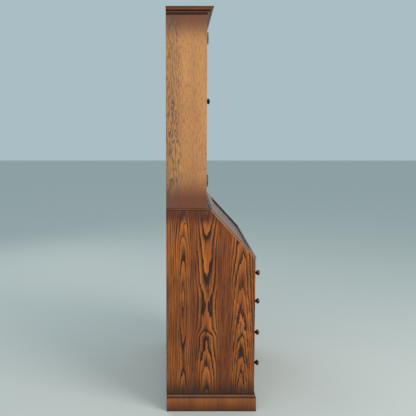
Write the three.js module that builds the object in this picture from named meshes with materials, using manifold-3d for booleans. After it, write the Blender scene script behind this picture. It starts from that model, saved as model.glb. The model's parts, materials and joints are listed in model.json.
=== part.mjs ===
// Oak bureau bookcase: a slant-front writing desk with four long drawers, and a glazed bookcase on top of it.
// Millimetres. +X is to the right of someone facing the front, the front faces -Y and +Z is up.
// The origin is on the floor, in the middle of the overall width and depth.
import * as THREE from 'three';
import { mergeVertices } from 'three/addons/utils/BufferGeometryUtils.js';
import Module from 'manifold-3d';

const wasm = await Module();
wasm.setup();

// Driving dimensions. A depth is measured forwards from the back of the desk.
const CARCASS_WIDTH = 900;
const BASE_DEPTH = 438;
const BASE_TOP_DEPTH = 214;
const BOOKCASE_DEPTH = 197;
const BOOKCASE_HEIGHT = 924.7;
const DESK_SPACE_HEIGHT = 256.5;
const SIDE_THICKNESS = 18;
const BACK_THICKNESS = 8;
const BACK_FOOT_GAP = 40;
const FIT = 0.3;
const GRID_PER_MM = 64;

// Plinth and the moulding along its top.
const PLINTH_BOARD_HEIGHT = 65;
const PLINTH_MOULDING_HEIGHT = 22;
const PLINTH_THICKNESS = 9;
const BOTTOM_RAIL_TOP = 122;
const BOTTOM_RAIL_FOOT = 60;
const BOTTOM_RAIL_THICKNESS = 20;
const BOTTOM_BOARD_THICKNESS = 18;

// Long drawers, from the top one down.
const DRAWER_HEIGHTS = [124, 150, 158, 143];
const DUST_BOARD_THICKNESS = 12;
const DRAWER_FRONT_THICKNESS = 20;
const DRAWER_PROUD = 2.5;
const DRAWER_GAP = 1;
const DRAWER_SIDE_THICKNESS = 12;
const DRAWER_BOTTOM_THICKNESS = 6;
const DRAWER_BOTTOM_RISE = 8;
const DRAWER_SIDE_DROP = 12;
const DRAWER_SIDE_GAP = 1.5;
const DRAWER_BOX_SIDE_GAP = 3;
const DRAWER_BACK_SPACE = 40;
const DRAWER_KNOB_INSET = 130;

// Turned knobs: overall diameter and length.
const DRAWER_KNOB = { diameter: 28, length: 38 };
const DOOR_KNOB = { diameter: 32, length: 38 };
const SMALL_KNOB = { diameter: 13, length: 15 };
const KNOB_SEGMENTS = 20;

// Lopers, which slide out beside the top drawer to carry the open lid. A finger hole in the end pulls each out.
const LOPER_WIDTH = 22;
const LOPER_GAP = 0.8;
const LOPER_BACK_SPACE = 60;
const LOPER_FINGER_HOLE = { diameter: 15, depth: 12 };
const DIVIDER_THICKNESS = 12;

// Writing bed and sloping lid.
const BED_THICKNESS = 23;
const BED_GAP = 1;
const LID_AXIS_SETBACK = 6;
const SLOPE_START_RISE = 11.2;
const LID_LIP_THICKNESS = 10.8;
const LID_LIP_SETBACK = 1;
const LID_SIDE_GAP = 0.7;
const LID_TOP_GAP = 1.6;
const LID_LIP_START = 6.8;
const LID_OVOLO = 4.5;
const LID_QUIRK = 0.75;
const LID_RISER = 3.8;
const LID_OVOLO_STEPS = 5;
const LID_PANEL_INSET = { side: 65, foot: 30, head: 56 };
const LID_PANEL_RECESS = 9.5;

// Fitted inside: pigeonholes over two small drawers.
const PIGEONHOLE_HEIGHT = 225;
const PIGEONHOLE_DEPTH = 160;
const PIGEONHOLE_BOARD = 8;
const PIGEONHOLE_CENTRE_WIDTH = 280;
const SMALL_DRAWER_HEIGHT = 62;
const SMALL_DRAWER_FRONT = 10;
const SMALL_DRAWER_WALL = 6;

// Board that closes the top of the base, with a beaded edge.
const BASE_TOP_THICKNESS = 10.8;
const BASE_TOP_NOSE_SETBACK = 5;
const BASE_TOP_BEAD = 3;

// Bookcase boards and shelves.
const BOOKCASE_BOARD = 18;
const SHELF_COUNT = 2;
const SHELF_SETBACK = 12;

// Cornice, which caps the bookcase.
const CORNICE_HEIGHT = 32;
const CORNICE_TOP_THICKNESS = 10;

// Glazed doors.
const DOOR_THICKNESS = 20;
const DOOR_GAP = 2;
const DOOR_HINGE_GAP = 1.5;
const DOOR_STILE = 45;
const DOOR_TOP_RAIL = 45;
const DOOR_BOTTOM_RAIL = 60;
const DOOR_BAR_WIDTH = 12;
const DOOR_BAR_DEPTH = 10;
const DOOR_PANE_COLUMNS = 2;
const DOOR_PANE_ROWS = 4;
const GLASS_THICKNESS = 3;
const GLASS_REBATE = 7;
const DOOR_KNOB_HEIGHT = 515;
const DOOR_HINGE_BELOW_TOP = 90;
const DOOR_HINGE_ABOVE_BOTTOM = 113;

// Butt hinges. A leaf reaches leafWidth from the pin's axis; offset is from the axis to its near face.
const DOOR_HINGE = { length: 33, radius: 3.6, leafWidth: 20, offset: DOOR_HINGE_GAP / 2, finial: 13 };
const LID_HINGE = { length: 60, radius: 3, leafWidth: 23, offset: 0, finial: 0 };
const LID_HINGE_INSET = 120;
const LEAF_THICKNESS = 1.5;
const PIN_RADIUS = 1.4;
const KNUCKLE_GAP = 0.3;
const HINGE_SEGMENTS = 16;

// Levels and planes that follow from the driving dimensions.
const sum = (values) => values.reduce((total, value) => total + value, 0);
const halfWidth = CARCASS_WIDTH / 2;
const innerHalf = halfWidth - SIDE_THICKNESS;
const drawerStack = sum(DRAWER_HEIGHTS) + DUST_BOARD_THICKNESS * (DRAWER_HEIGHTS.length - 1);
const drawersTop = BOTTOM_RAIL_TOP + drawerStack;
const bedFoot = drawersTop + BED_GAP;
const bedTop = bedFoot + BED_THICKNESS;
const sideTop = bedTop + DESK_SPACE_HEIGHT;
const bookcaseFoot = sideTop + BASE_TOP_THICKNESS;
const bookcaseTop = bookcaseFoot + BOOKCASE_HEIGHT;
const drawerFace = BASE_DEPTH + DRAWER_PROUD;
const backY = (drawerFace + DRAWER_KNOB.length) / 2;
const slopeStart = bedTop + SLOPE_START_RISE;
const slopeAngle = Math.atan2(sideTop - slopeStart, BASE_DEPTH - BASE_TOP_DEPTH);

/** The y of a plane at a depth measured forwards from the back of the desk. */
function yAt(depth) {
  return backY - depth;
}

const material = {
  oak: () => new THREE.MeshStandardMaterial({ color: 0x84502d, roughness: 0.42, metalness: 0 }),
  fadedOak: () => new THREE.MeshStandardMaterial({ color: 0xa3795a, roughness: 0.5, metalness: 0 }),
  darkOak: () => new THREE.MeshStandardMaterial({ color: 0x5a331c, roughness: 0.4, metalness: 0 }),
  drawerLining: () => new THREE.MeshStandardMaterial({ color: 0x9c7448, roughness: 0.75, metalness: 0 }),
  bronze: () => new THREE.MeshStandardMaterial({ color: 0x4a3226, roughness: 0.35, metalness: 0.9 }),
  brass: () => new THREE.MeshStandardMaterial({ color: 0x8a6a35, roughness: 0.35, metalness: 1 }),
  glass: () => new THREE.MeshStandardMaterial({ color: 0xdfe8e6, roughness: 0.05, metalness: 0 }),
};

const desk = new THREE.Group();

/** The nearest place on a fine grid, so that two boards that meet share exactly one plane. */
function onGrid(value) {
  return Math.round(value * GRID_PER_MM) / GRID_PER_MM;
}

/** Adds a named mesh to a group. Its geometry is drawn in place, then centred on the mesh's own origin. */
function addMesh(name, geometry, meshMaterial, group = desk) {
  const corners = geometry.attributes.position;
  corners.array.set(corners.array.map(onGrid));
  geometry.computeBoundingBox();
  const middle = geometry.boundingBox.getCenter(new THREE.Vector3()).toArray().map(onGrid);
  geometry.translate(...middle.map((value) => -value));
  const mesh = new THREE.Mesh(geometry, meshMaterial);
  mesh.name = name;
  mesh.position.set(...middle);
  group.add(mesh);
}

/** A box from its ranges: x and z as they are, depth measured forwards from the back. */
function boardGeometry({ x, depth, z }) {
  return boxBetween([x[0], yAt(depth[1]), z[0]], [x[1], yAt(depth[0]), z[1]]);
}

/** A box between its lowest and highest corners. */
function boxBetween(low, high) {
  const size = high.map((value, axis) => value - low[axis]);
  const middle = high.map((value, axis) => (value + low[axis]) / 2);
  return new THREE.BoxGeometry(...size).translate(...middle);
}

/** The same range on the left side or the right side: side is -1 or 1. */
function mirrored([near, far], side) {
  return side < 0 ? [-far, -near] : [near, far];
}

const SIDES = [['left', -1], ['right', 1]];

/** A closed geometry as a solid that can be cut and joined. */
function solidOf(geometry) {
  const bare = geometry.clone();
  bare.deleteAttribute('normal');
  bare.deleteAttribute('uv');
  const merged = mergeVertices(bare);
  const vertProperties = new Float32Array(merged.attributes.position.array);
  const triVerts = new Uint32Array(merged.index.array);
  return new wasm.Manifold(new wasm.Mesh({ numProp: 3, vertProperties, triVerts }));
}

/** The geometry of a solid. */
function geometryOf(solid) {
  const mesh = solid.getMesh();
  const geometry = new THREE.BufferGeometry();
  geometry.setAttribute('position', new THREE.BufferAttribute(new Float32Array(mesh.vertProperties), 3));
  geometry.setIndex(new THREE.BufferAttribute(new Uint32Array(mesh.triVerts), 1));
  geometry.computeVertexNormals();
  return geometry;
}

/** One body: the first geometries joined, less the cutters. */
function joined(geometries, cutters = []) {
  const whole = geometries.map(solidOf).reduce((a, b) => a.add(b));
  return geometryOf(cutters.map(solidOf).reduce((a, b) => a.subtract(b), whole));
}

/** The turn that sends X, Y and Z to three given directions. */
function turnTo(...directions) {
  const axes = directions.map((direction) => new THREE.Vector3(...direction));
  return new THREE.Matrix4().makeBasis(...axes);
}

/** A polygon in the YZ plane, extruded across from the first x to the second. */
function extrudedAcross(outline, [xLow, xHigh]) {
  const shape = new THREE.Shape(outline.map(([y, z]) => new THREE.Vector2(y, z)));
  const geometry = new THREE.ExtrudeGeometry(shape, { depth: xHigh - xLow, bevelEnabled: false });
  return geometry.applyMatrix4(turnTo([0, 1, 0], [0, 0, 1], [1, 0, 0])).translate(xLow, 0, 0);
}

/** A polygon in the XZ plane, extruded forwards from the higher y to the lower. */
function extrudedForwards(outline, [yLow, yHigh]) {
  const shape = new THREE.Shape(outline.map(([x, z]) => new THREE.Vector2(x, z)));
  const geometry = new THREE.ExtrudeGeometry(shape, { depth: yHigh - yLow, bevelEnabled: false });
  return geometry.applyMatrix4(turnTo([1, 0, 0], [0, 0, 1], [0, -1, 0])).translate(0, yHigh, 0);
}

/**
 * A block with the same moulding on its left, right and one y end, mitred at the corners.
 * The profile lists [projection, z] upwards; the projection is added to the half width and past mouldedY.
 */
function mouldedBlock(profile, half, plainY, mouldedY) {
  const out = Math.sign(mouldedY - plainY);
  const reach = Math.max(...profile.map(([projection]) => projection));
  const foot = profile[0][1];
  const head = profile[profile.length - 1][1];
  const endOn = [[plainY, foot], ...profile.map(([p, z]) => [mouldedY + out * p, z]), [plainY, head]];
  const right = profile.map(([p, z]) => [half + p, z]);
  const left = profile.map(([p, z]) => [-half - p, z]).reverse();
  const farY = mouldedY + out * (reach + 1);
  const across = extrudedAcross(endOn, [-half - reach - 1, half + reach + 1]);
  const along = extrudedForwards([...right, ...left], [plainY, farY].sort((a, b) => a - b));
  return solidOf(across).intersect(solidOf(along));
}

/** Points [projection, z] of a quarter round, from one angle to another, about a centre. */
function arcPoints([centreP, centreZ], radius, fromDegrees, toDegrees, steps) {
  return Array.from({ length: steps + 1 }, (_, step) => {
    const angle = THREE.MathUtils.degToRad(fromDegrees + ((toDegrees - fromDegrees) * step) / steps);
    return [centreP + radius * Math.cos(angle), centreZ + radius * Math.sin(angle)];
  });
}

/** A turned knob on its own: its foot at the origin and its axis along +Y. */
function knobGeometry({ diameter, length }) {
  const radius = diameter / 2;
  const outline = [
    [0, 0],
    [radius * 0.8, 0],
    [radius * 0.8, length * 0.08],
    [radius * 0.45, length * 0.2],
    [radius * 0.42, length * 0.42],
    [radius * 0.8, length * 0.56],
    [radius, length * 0.72],
    [radius * 0.88, length * 0.88],
    [radius * 0.5, length * 0.97],
    [0, length],
  ];
  return new THREE.LatheGeometry(outline.map(([r, y]) => new THREE.Vector2(r, y)), KNOB_SEGMENTS);
}

/** A knob that faces forwards, with its foot at a place on a front. */
function placedKnob(size, x, depth, z) {
  return knobGeometry(size).rotateX(Math.PI).translate(x, yAt(depth), z);
}

/**
 * One leaf of a butt hinge. The pin's axis is +Z through the origin, the leaf reaches along +X, and its
 * thickness lies from offset upwards in Y. The pin leaf has the two end knuckles, the pin and any finials.
 */
function hingeLeafGeometry({ length, radius, leafWidth, offset, finial }, hasPin) {
  const knuckle = length / 3;
  const own = hasPin ? [[0, knuckle], [2 * knuckle, length]] : [[knuckle, 2 * knuckle]];
  const neck = radius + 2 * KNUCKLE_GAP;
  const thickness = [offset, offset + LEAF_THICKNESS];
  const pieces = [boxBetween([neck, thickness[0], 0], [leafWidth, thickness[1], length])];
  for (const [low, high] of own) {
    const foot = low > 0 ? low + KNUCKLE_GAP / 2 : low;
    const head = high < length ? high - KNUCKLE_GAP / 2 : high;
    pieces.push(boxBetween([0, thickness[0], foot], [neck + 1, thickness[1], head]));
    pieces.push(roundBar(radius, foot, head));
  }
  if (!hasPin) {
    return joined(pieces, [roundBar(PIN_RADIUS + KNUCKLE_GAP, 0, length)]);
  }
  pieces.push(roundBar(PIN_RADIUS, 1, length - 1));
  if (finial > 0) {
    pieces.push(finialGeometry(radius, finial).rotateX(Math.PI / 2).translate(0, 0, length - 1));
    pieces.push(finialGeometry(radius, finial).rotateX(-Math.PI / 2).translate(0, 0, 1));
  }
  return joined(pieces);
}

/** A ball finial on a thin neck, along +Y from the origin; its foot is sunk 1 mm into the barrel. */
function finialGeometry(radius, length) {
  const outline = [
    [0, 0],
    [radius * 0.75, 0],
    [radius * 0.75, 2],
    [radius * 0.5, length * 0.35],
    [radius * 0.95, length * 0.55],
    [radius * 0.95, length * 0.75],
    [radius * 0.5, length * 0.92],
    [0, length + 1],
  ];
  return new THREE.LatheGeometry(outline.map(([r, y]) => new THREE.Vector2(r, y)), HINGE_SEGMENTS);
}

/** A round bar along the Z axis. */
function roundBar(radius, low, high) {
  const bar = new THREE.CylinderGeometry(radius, radius, high - low, HINGE_SEGMENTS);
  return bar.rotateX(Math.PI / 2).translate(0, 0, (low + high) / 2);
}

// ---------- Base carcass ----------

function addBaseSides() {
  const outline = [
    [yAt(0), 0],
    [yAt(BASE_DEPTH), 0],
    [yAt(BASE_DEPTH), slopeStart],
    [yAt(BASE_TOP_DEPTH), sideTop],
    [yAt(0), sideTop],
  ];
  for (const [name, side] of SIDES) {
    const panel = extrudedAcross(outline, mirrored([innerHalf, halfWidth], side));
    addMesh(`base_side_${name}`, panel, material.oak());
  }
}

const plinthHeight = PLINTH_BOARD_HEIGHT + PLINTH_MOULDING_HEIGHT;

function addPlinth() {
  const fillet = 3;
  const moulded = [
    [PLINTH_THICKNESS, 0],
    [PLINTH_THICKNESS, PLINTH_BOARD_HEIGHT],
    [PLINTH_THICKNESS - fillet / 2, PLINTH_BOARD_HEIGHT],
    [PLINTH_THICKNESS - fillet / 2, PLINTH_BOARD_HEIGHT + fillet],
    [PLINTH_THICKNESS - fillet, PLINTH_BOARD_HEIGHT + PLINTH_MOULDING_HEIGHT * 0.4],
    [PLINTH_THICKNESS * 0.4, PLINTH_BOARD_HEIGHT + PLINTH_MOULDING_HEIGHT * 0.7],
    [PLINTH_THICKNESS * 0.3, plinthHeight],
  ];
  const block = mouldedBlock(moulded, halfWidth, yAt(0), yAt(BASE_DEPTH));
  const hollow = boardGeometry({
    x: [-halfWidth, halfWidth],
    depth: [-1, BASE_DEPTH],
    z: [-1, plinthHeight + 1],
  });
  addMesh('plinth', geometryOf(block.subtract(solidOf(hollow))), material.darkOak());
}

function addBaseBoards() {
  const between = [-innerHalf, innerHalf];
  const railBack = BASE_DEPTH - BOTTOM_RAIL_THICKNESS;
  const boards = {
    base_back: { depth: [0, BACK_THICKNESS], z: [BACK_FOOT_GAP, sideTop] },
    bottom_rail: { depth: [railBack, BASE_DEPTH], z: [BOTTOM_RAIL_FOOT, BOTTOM_RAIL_TOP] },
    base_bottom: {
      depth: [BACK_THICKNESS, railBack],
      z: [BOTTOM_RAIL_TOP - BOTTOM_BOARD_THICKNESS, BOTTOM_RAIL_TOP],
    },
  };
  for (const [name, { depth, z }] of Object.entries(boards)) {
    addMesh(name, boardGeometry({ x: between, depth, z }), material.oak());
  }
}

/** The z range of each long drawer's space, from the top one down. */
const drawerSpaces = DRAWER_HEIGHTS.map((height, index) => {
  const above = sum(DRAWER_HEIGHTS.slice(0, index)) + index * DUST_BOARD_THICKNESS;
  return [drawersTop - above - height, drawersTop - above];
});

function addDustBoards() {
  drawerSpaces.slice(0, -1).forEach(([foot], index) => {
    const z = [foot - DUST_BOARD_THICKNESS, foot];
    const depth = [BACK_THICKNESS, BASE_DEPTH];
    const board = boardGeometry({ x: [-innerHalf, innerHalf], depth, z });
    addMesh(`dust_board_${index + 1}`, board, material.oak());
  });
}

function addBaseTop() {
  const middle = BASE_TOP_THICKNESS / 2;
  const radius = middle;
  const bead = arcPoints([BASE_TOP_BEAD - radius, sideTop + middle], radius, -90, 90, 6);
  const nose = yAt(BASE_TOP_DEPTH - BASE_TOP_NOSE_SETBACK);
  const board = mouldedBlock(bead, halfWidth, yAt(0), nose);
  addMesh('base_top', geometryOf(board), material.darkOak());
}

// ---------- Lopers ----------

const slotInner = innerHalf - LOPER_WIDTH - 2 * LOPER_GAP;

function addLopers() {
  const loperFoot = drawerSpaces[0][0] + DRAWER_GAP / 2;
  const loperHead = drawersTop - DRAWER_GAP / 2;
  for (const [name, side] of SIDES) {
    const dividerX = mirrored([slotInner - DIVIDER_THICKNESS, slotInner], side);
    const dividerZ = [drawerSpaces[0][0], bedFoot];
    const divider = boardGeometry({ x: dividerX, depth: [BACK_THICKNESS, BASE_DEPTH], z: dividerZ });
    addMesh(`loper_divider_${name}`, divider, material.oak());

    const x = mirrored([slotInner + LOPER_GAP, innerHalf - LOPER_GAP], side);
    const bar = boardGeometry({ x, depth: [LOPER_BACK_SPACE, drawerFace], z: [loperFoot, loperHead] });
    const { diameter, depth: holeDepth } = LOPER_FINGER_HOLE;
    const hole = new THREE.CylinderGeometry(diameter / 2, diameter / 2, 2 * holeDepth, KNOB_SEGMENTS);
    hole.translate((x[0] + x[1]) / 2, yAt(drawerFace), (loperFoot + loperHead) / 2);
    addMesh(`loper_${name}`, joined([bar], [hole]), material.oak());
  }
}

// ---------- Long drawers ----------

function addDrawer(number, [spaceFoot, spaceHead], spaceHalf) {
  const faceHalf = spaceHalf - DRAWER_SIDE_GAP;
  const foot = spaceFoot + DRAWER_GAP / 2;
  const head = spaceHead - DRAWER_GAP;
  const faceBack = drawerFace - DRAWER_FRONT_THICKNESS;
  const front = boardGeometry({ x: [-faceHalf, faceHalf], depth: [faceBack, drawerFace], z: [foot, head] });
  addMesh(`drawer_${number}_front`, front, material.oak());

  const boxHalf = spaceHalf - DRAWER_BOX_SIDE_GAP;
  const wall = DRAWER_SIDE_THICKNESS;
  const boxBack = DRAWER_BACK_SPACE;
  const wallZ = [foot, head - DRAWER_SIDE_DROP];
  const floorZ = [foot + DRAWER_BOTTOM_RISE, foot + DRAWER_BOTTOM_RISE + DRAWER_BOTTOM_THICKNESS];
  const walls = SIDES.map(([, side]) => boardGeometry({
    x: mirrored([boxHalf - wall, boxHalf], side),
    depth: [boxBack, faceBack],
    z: wallZ,
  }));
  const back = boardGeometry({ x: [-boxHalf, boxHalf], depth: [boxBack, boxBack + wall], z: wallZ });
  const floor = boardGeometry({ x: [-boxHalf, boxHalf], depth: [boxBack, faceBack], z: floorZ });
  addMesh(`drawer_${number}_box`, joined([...walls, back, floor]), material.drawerLining());

  const knobX = halfWidth - DRAWER_KNOB_INSET;
  for (const [name, side] of SIDES) {
    const knob = placedKnob(DRAWER_KNOB, side * knobX, drawerFace, (spaceFoot + spaceHead) / 2);
    addMesh(`drawer_${number}_knob_${name}`, knob, material.bronze());
  }
}

// ---------- Writing bed and lid ----------

const lidAxis = { depth: BASE_DEPTH - LID_AXIS_SETBACK, z: bedTop };
const lidBodyThickness = LID_AXIS_SETBACK * Math.sin(slopeAngle) + SLOPE_START_RISE * Math.cos(slopeAngle);
const lidThickness = lidBodyThickness + LID_LIP_THICKNESS;
const lidHingeX = halfWidth - LID_HINGE_INSET - LID_HINGE.length / 2;
const barrelNotch = LID_HINGE.radius + KNUCKLE_GAP;

/** The lid's length up the slope, from its lower edge at the hinge to its upper edge under the base top. */
function lidLength() {
  const slopeLine = Math.hypot(sideTop - slopeStart, BASE_DEPTH - BASE_TOP_DEPTH);
  const belowSlopeStart = SLOPE_START_RISE * Math.sin(slopeAngle) - LID_AXIS_SETBACK * Math.cos(slopeAngle);
  return slopeLine + belowSlopeStart - LID_TOP_GAP;
}

/** The x range of a lid hinge on one side, with a gap at each end. */
function lidHingeRange(side, gap) {
  return mirrored([lidHingeX - LID_HINGE.length / 2 - gap, lidHingeX + LID_HINGE.length / 2 + gap], side);
}

function addBed() {
  const bed = boardGeometry({
    x: [-innerHalf, innerHalf],
    depth: [BACK_THICKNESS, lidAxis.depth - FIT],
    z: [bedFoot, bedTop],
  });
  const cutters = SIDES.flatMap(([, side]) => {
    const x = lidHingeRange(side, FIT);
    const leafBack = lidAxis.depth - LID_HINGE.leafWidth - FIT;
    return [
      boardGeometry({ x, depth: [leafBack, BASE_DEPTH], z: [bedTop - LEAF_THICKNESS - FIT, bedTop + 1] }),
      boardGeometry({
        x,
        depth: [lidAxis.depth - barrelNotch, BASE_DEPTH],
        z: [bedTop - barrelNotch, bedTop + 1],
      }),
    ];
  });
  addMesh('writing_bed', joined([bed], cutters), material.oak());
}

/** The lid, drawn in its own frame: x across, y up the slope from the hinge axis, z outwards. */
function addLid(lidFrame) {
  const length = lidLength();
  const bodyHalf = innerHalf - LID_SIDE_GAP;
  const lipHalf = halfWidth - LID_LIP_SETBACK;
  const foot = lidBodyThickness + FIT;
  const ovoloFoot = lidThickness - LID_OVOLO - LID_RISER;
  const body = boxBetween([-bodyHalf, 0, 0], [bodyHalf, length, ovoloFoot]);
  const setBack = LID_OVOLO + LID_QUIRK;
  const edge = [
    [0, foot],
    [0, ovoloFoot],
    ...arcPoints([-setBack, ovoloFoot], LID_OVOLO, 0, 90, LID_OVOLO_STEPS),
    [-setBack, lidThickness],
  ];
  const lip = geometryOf(mouldedBlock(edge, lipHalf, LID_LIP_START, length));
  const heel = boxBetween([-bodyHalf, 0, foot], [bodyHalf, LID_LIP_START + 1, lidThickness]);
  const panel = lidPanelRecess(length);
  const notches = SIDES.flatMap(([, side]) => {
    const [low, high] = lidHingeRange(side, FIT);
    return [
      boxBetween([low, -1, -1], [high, barrelNotch, barrelNotch]),
      boxBetween([low, -1, -1], [high, LID_HINGE.leafWidth + FIT, LEAF_THICKNESS + FIT]),
    ];
  });
  addMesh('fall_lid', joined([body, lip, heel], [...notches, panel]), material.darkOak(), lidFrame);
}

/** The space over the lid's sunk panel, inside its frame. */
function lidPanelRecess(length) {
  const half = halfWidth - LID_PANEL_INSET.side;
  const low = [-half, LID_PANEL_INSET.foot, lidThickness - LID_PANEL_RECESS];
  return boxBetween(low, [half, length - LID_PANEL_INSET.head, lidThickness + 1]);
}

/** The lid leaves lie in the lid's own frame; the bed leaves reach backwards, let into the bed's surface. */
function addLidHinges(lidFrame) {
  for (const [name, side] of SIDES) {
    const [low, high] = lidHingeRange(side, 0);
    const lidLeaf = hingeLeafGeometry(LID_HINGE, false);
    lidLeaf.applyMatrix4(turnTo([0, 1, 0], [0, 0, 1], [1, 0, 0])).translate(low, 0, 0);
    addMesh(`lid_hinge_${name}_lid_leaf`, lidLeaf, material.brass(), lidFrame);
    const bedLeaf = hingeLeafGeometry(LID_HINGE, true);
    bedLeaf.applyMatrix4(turnTo([0, 1, 0], [0, 0, -1], [-1, 0, 0]));
    bedLeaf.translate(high, yAt(lidAxis.depth), lidAxis.z);
    addMesh(`lid_hinge_${name}_bed_leaf`, bedLeaf, material.brass());
  }
}

/** A frame whose origin is on the lid's hinge axis, with +Y up the slope and +Z outwards. */
function makeLidFrame() {
  const lidFrame = new THREE.Group();
  lidFrame.position.set(0, yAt(lidAxis.depth), lidAxis.z);
  lidFrame.rotation.x = slopeAngle;
  desk.add(lidFrame);
  return lidFrame;
}

// ---------- Pigeonholes and small drawers ----------

const unitHalf = innerHalf - FIT;
const centreHalf = PIGEONHOLE_CENTRE_WIDTH / 2;
const unitBack = BACK_THICKNESS + FIT;
const unitFront = unitBack + PIGEONHOLE_DEPTH;
const smallDrawerTop = bedTop + SMALL_DRAWER_HEIGHT;

function addPigeonholes() {
  const depth = [unitBack, unitFront];
  const top = bedTop + PIGEONHOLE_HEIGHT;
  const full = [-unitHalf, unitHalf];
  const sideBayMiddle = (centreHalf + unitHalf) / 2;
  const shelf = boardGeometry({ x: full, depth, z: [smallDrawerTop, smallDrawerTop + PIGEONHOLE_BOARD] });
  const head = boardGeometry({ x: full, depth, z: [top - PIGEONHOLE_BOARD, top] });
  const uprights = SIDES.flatMap(([, side]) => [
    { x: [unitHalf - PIGEONHOLE_BOARD, unitHalf], z: [bedTop, top] },
    { x: [centreHalf, centreHalf + PIGEONHOLE_BOARD], z: [bedTop, top] },
    { x: [sideBayMiddle, sideBayMiddle + PIGEONHOLE_BOARD], z: [smallDrawerTop, top] },
  ].map(({ x, z }) => boardGeometry({ x: mirrored(x, side), depth, z })));
  addMesh('pigeonhole_unit', joined([shelf, head, ...uprights]), material.oak());
}

/** A small drawer with its knob, made as one glued piece. */
function addSmallDrawers() {
  const foot = bedTop + DRAWER_GAP / 2;
  const head = smallDrawerTop - DRAWER_GAP;
  const wall = SMALL_DRAWER_WALL;
  const near = centreHalf + PIGEONHOLE_BOARD + DRAWER_GAP;
  const far = unitHalf - PIGEONHOLE_BOARD - DRAWER_GAP;
  const back = unitBack + DRAWER_GAP;
  const faceBack = unitFront - SMALL_DRAWER_FRONT;
  for (const [name, side] of SIDES) {
    const x = mirrored([near, far], side);
    const board = (xRange, depth, z) => boardGeometry({ x: xRange, depth, z });
    const pieces = [
      board(x, [faceBack, unitFront], [foot, head]),
      board(x, [back, back + wall], [foot, head - wall]),
      board(x, [back, faceBack], [foot, foot + wall]),
      board([x[0], x[0] + wall], [back, faceBack], [foot, head - wall]),
      board([x[1] - wall, x[1]], [back, faceBack], [foot, head - wall]),
      placedKnob(SMALL_KNOB, (x[0] + x[1]) / 2, unitFront - FIT, (foot + head) / 2),
    ];
    addMesh(`small_drawer_${name}`, joined(pieces), material.oak());
  }
}

// ---------- Bookcase ----------

const doorFoot = bookcaseFoot + BOOKCASE_BOARD + DOOR_GAP;
const doorHead = bookcaseTop - BOOKCASE_BOARD - DOOR_GAP;
const doorEdge = innerHalf - DOOR_HINGE_GAP;
const doorBack = BOOKCASE_DEPTH - DOOR_THICKNESS;
const doorHingeAxis = {
  x: innerHalf - DOOR_HINGE.offset,
  depth: BOOKCASE_DEPTH + FIT + DOOR_HINGE.radius,
};
const doorHingeMiddles = {
  upper: doorHead - DOOR_HINGE_BELOW_TOP,
  lower: doorFoot + DOOR_HINGE_ABOVE_BOTTOM,
};

/** The pockets for the hinge leaves in one face: x is the face's range, as deep as a leaf. */
function doorHingeMortises(x) {
  const reach = DOOR_HINGE.length / 2 + FIT;
  const back = doorHingeAxis.depth - DOOR_HINGE.leafWidth - FIT;
  return Object.values(doorHingeMiddles).map((middle) => boardGeometry({
    x,
    depth: [back, BOOKCASE_DEPTH + 1],
    z: [middle - reach, middle + reach],
  }));
}

function addBookcase() {
  const full = [bookcaseFoot, bookcaseTop];
  for (const [name, side] of SIDES) {
    const x = mirrored([innerHalf, halfWidth], side);
    const panel = boardGeometry({ x, depth: [0, BOOKCASE_DEPTH], z: full });
    const pockets = doorHingeMortises(mirrored([innerHalf - 1, innerHalf + LEAF_THICKNESS + FIT], side));
    addMesh(`bookcase_side_${name}`, joined([panel], pockets), material.fadedOak());
  }
  const between = [-innerHalf, innerHalf];
  const depth = [BACK_THICKNESS, BOOKCASE_DEPTH];
  const back = boardGeometry({ x: between, depth: [0, BACK_THICKNESS], z: full });
  addMesh('bookcase_back', back, material.oak());
  const foot = boardGeometry({ x: between, depth, z: [bookcaseFoot, bookcaseFoot + BOOKCASE_BOARD] });
  addMesh('bookcase_bottom', foot, material.oak());
  const head = boardGeometry({ x: between, depth, z: [bookcaseTop - BOOKCASE_BOARD, bookcaseTop] });
  addMesh('bookcase_top', head, material.oak());
}

function addShelves() {
  const space = BOOKCASE_HEIGHT - (SHELF_COUNT + 2) * BOOKCASE_BOARD;
  const pitch = space / (SHELF_COUNT + 1) + BOOKCASE_BOARD;
  for (let index = 1; index <= SHELF_COUNT; index += 1) {
    const foot = bookcaseFoot + index * pitch;
    addMesh(`shelf_${index}`, boardGeometry({
      x: [-innerHalf, innerHalf],
      depth: [BACK_THICKNESS, doorBack - SHELF_SETBACK],
      z: [foot, foot + BOOKCASE_BOARD],
    }), material.oak());
  }
}

function addCornice() {
  const profile = [
    [4, 0],
    [6, 2],
    [4, 4],
    [7, 6.5],
    [12, 10.5],
    [19, 13],
    [19, 19],
    [28, 20],
    [29.5, 22],
    [29.5, CORNICE_HEIGHT],
  ].map(([projection, rise]) => [projection, bookcaseTop + rise]);
  const block = mouldedBlock(profile, halfWidth, yAt(0), yAt(BOOKCASE_DEPTH));
  const hollow = boardGeometry({
    x: [-innerHalf, innerHalf],
    depth: [BACK_THICKNESS, BOOKCASE_DEPTH - BOOKCASE_BOARD],
    z: [bookcaseTop - 1, bookcaseTop + CORNICE_HEIGHT - CORNICE_TOP_THICKNESS],
  });
  addMesh('cornice', geometryOf(block.subtract(solidOf(hollow))), material.darkOak());
}

// ---------- Glazed doors ----------

const paneFoot = doorFoot + DOOR_BOTTOM_RAIL;
const paneHead = doorHead - DOOR_TOP_RAIL;
const paneNear = DOOR_GAP / 2 + DOOR_STILE;
const paneFar = doorEdge - DOOR_STILE;
const barBack = BOOKCASE_DEPTH - DOOR_BAR_DEPTH;

/** Ranges of equal panes between two limits, with glazing bars between them. */
function paneRanges(low, high, count) {
  const size = (high - low - DOOR_BAR_WIDTH * (count - 1)) / count;
  return Array.from({ length: count }, (_, index) => {
    const start = low + index * (size + DOOR_BAR_WIDTH);
    return [start, start + size];
  });
}

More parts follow.
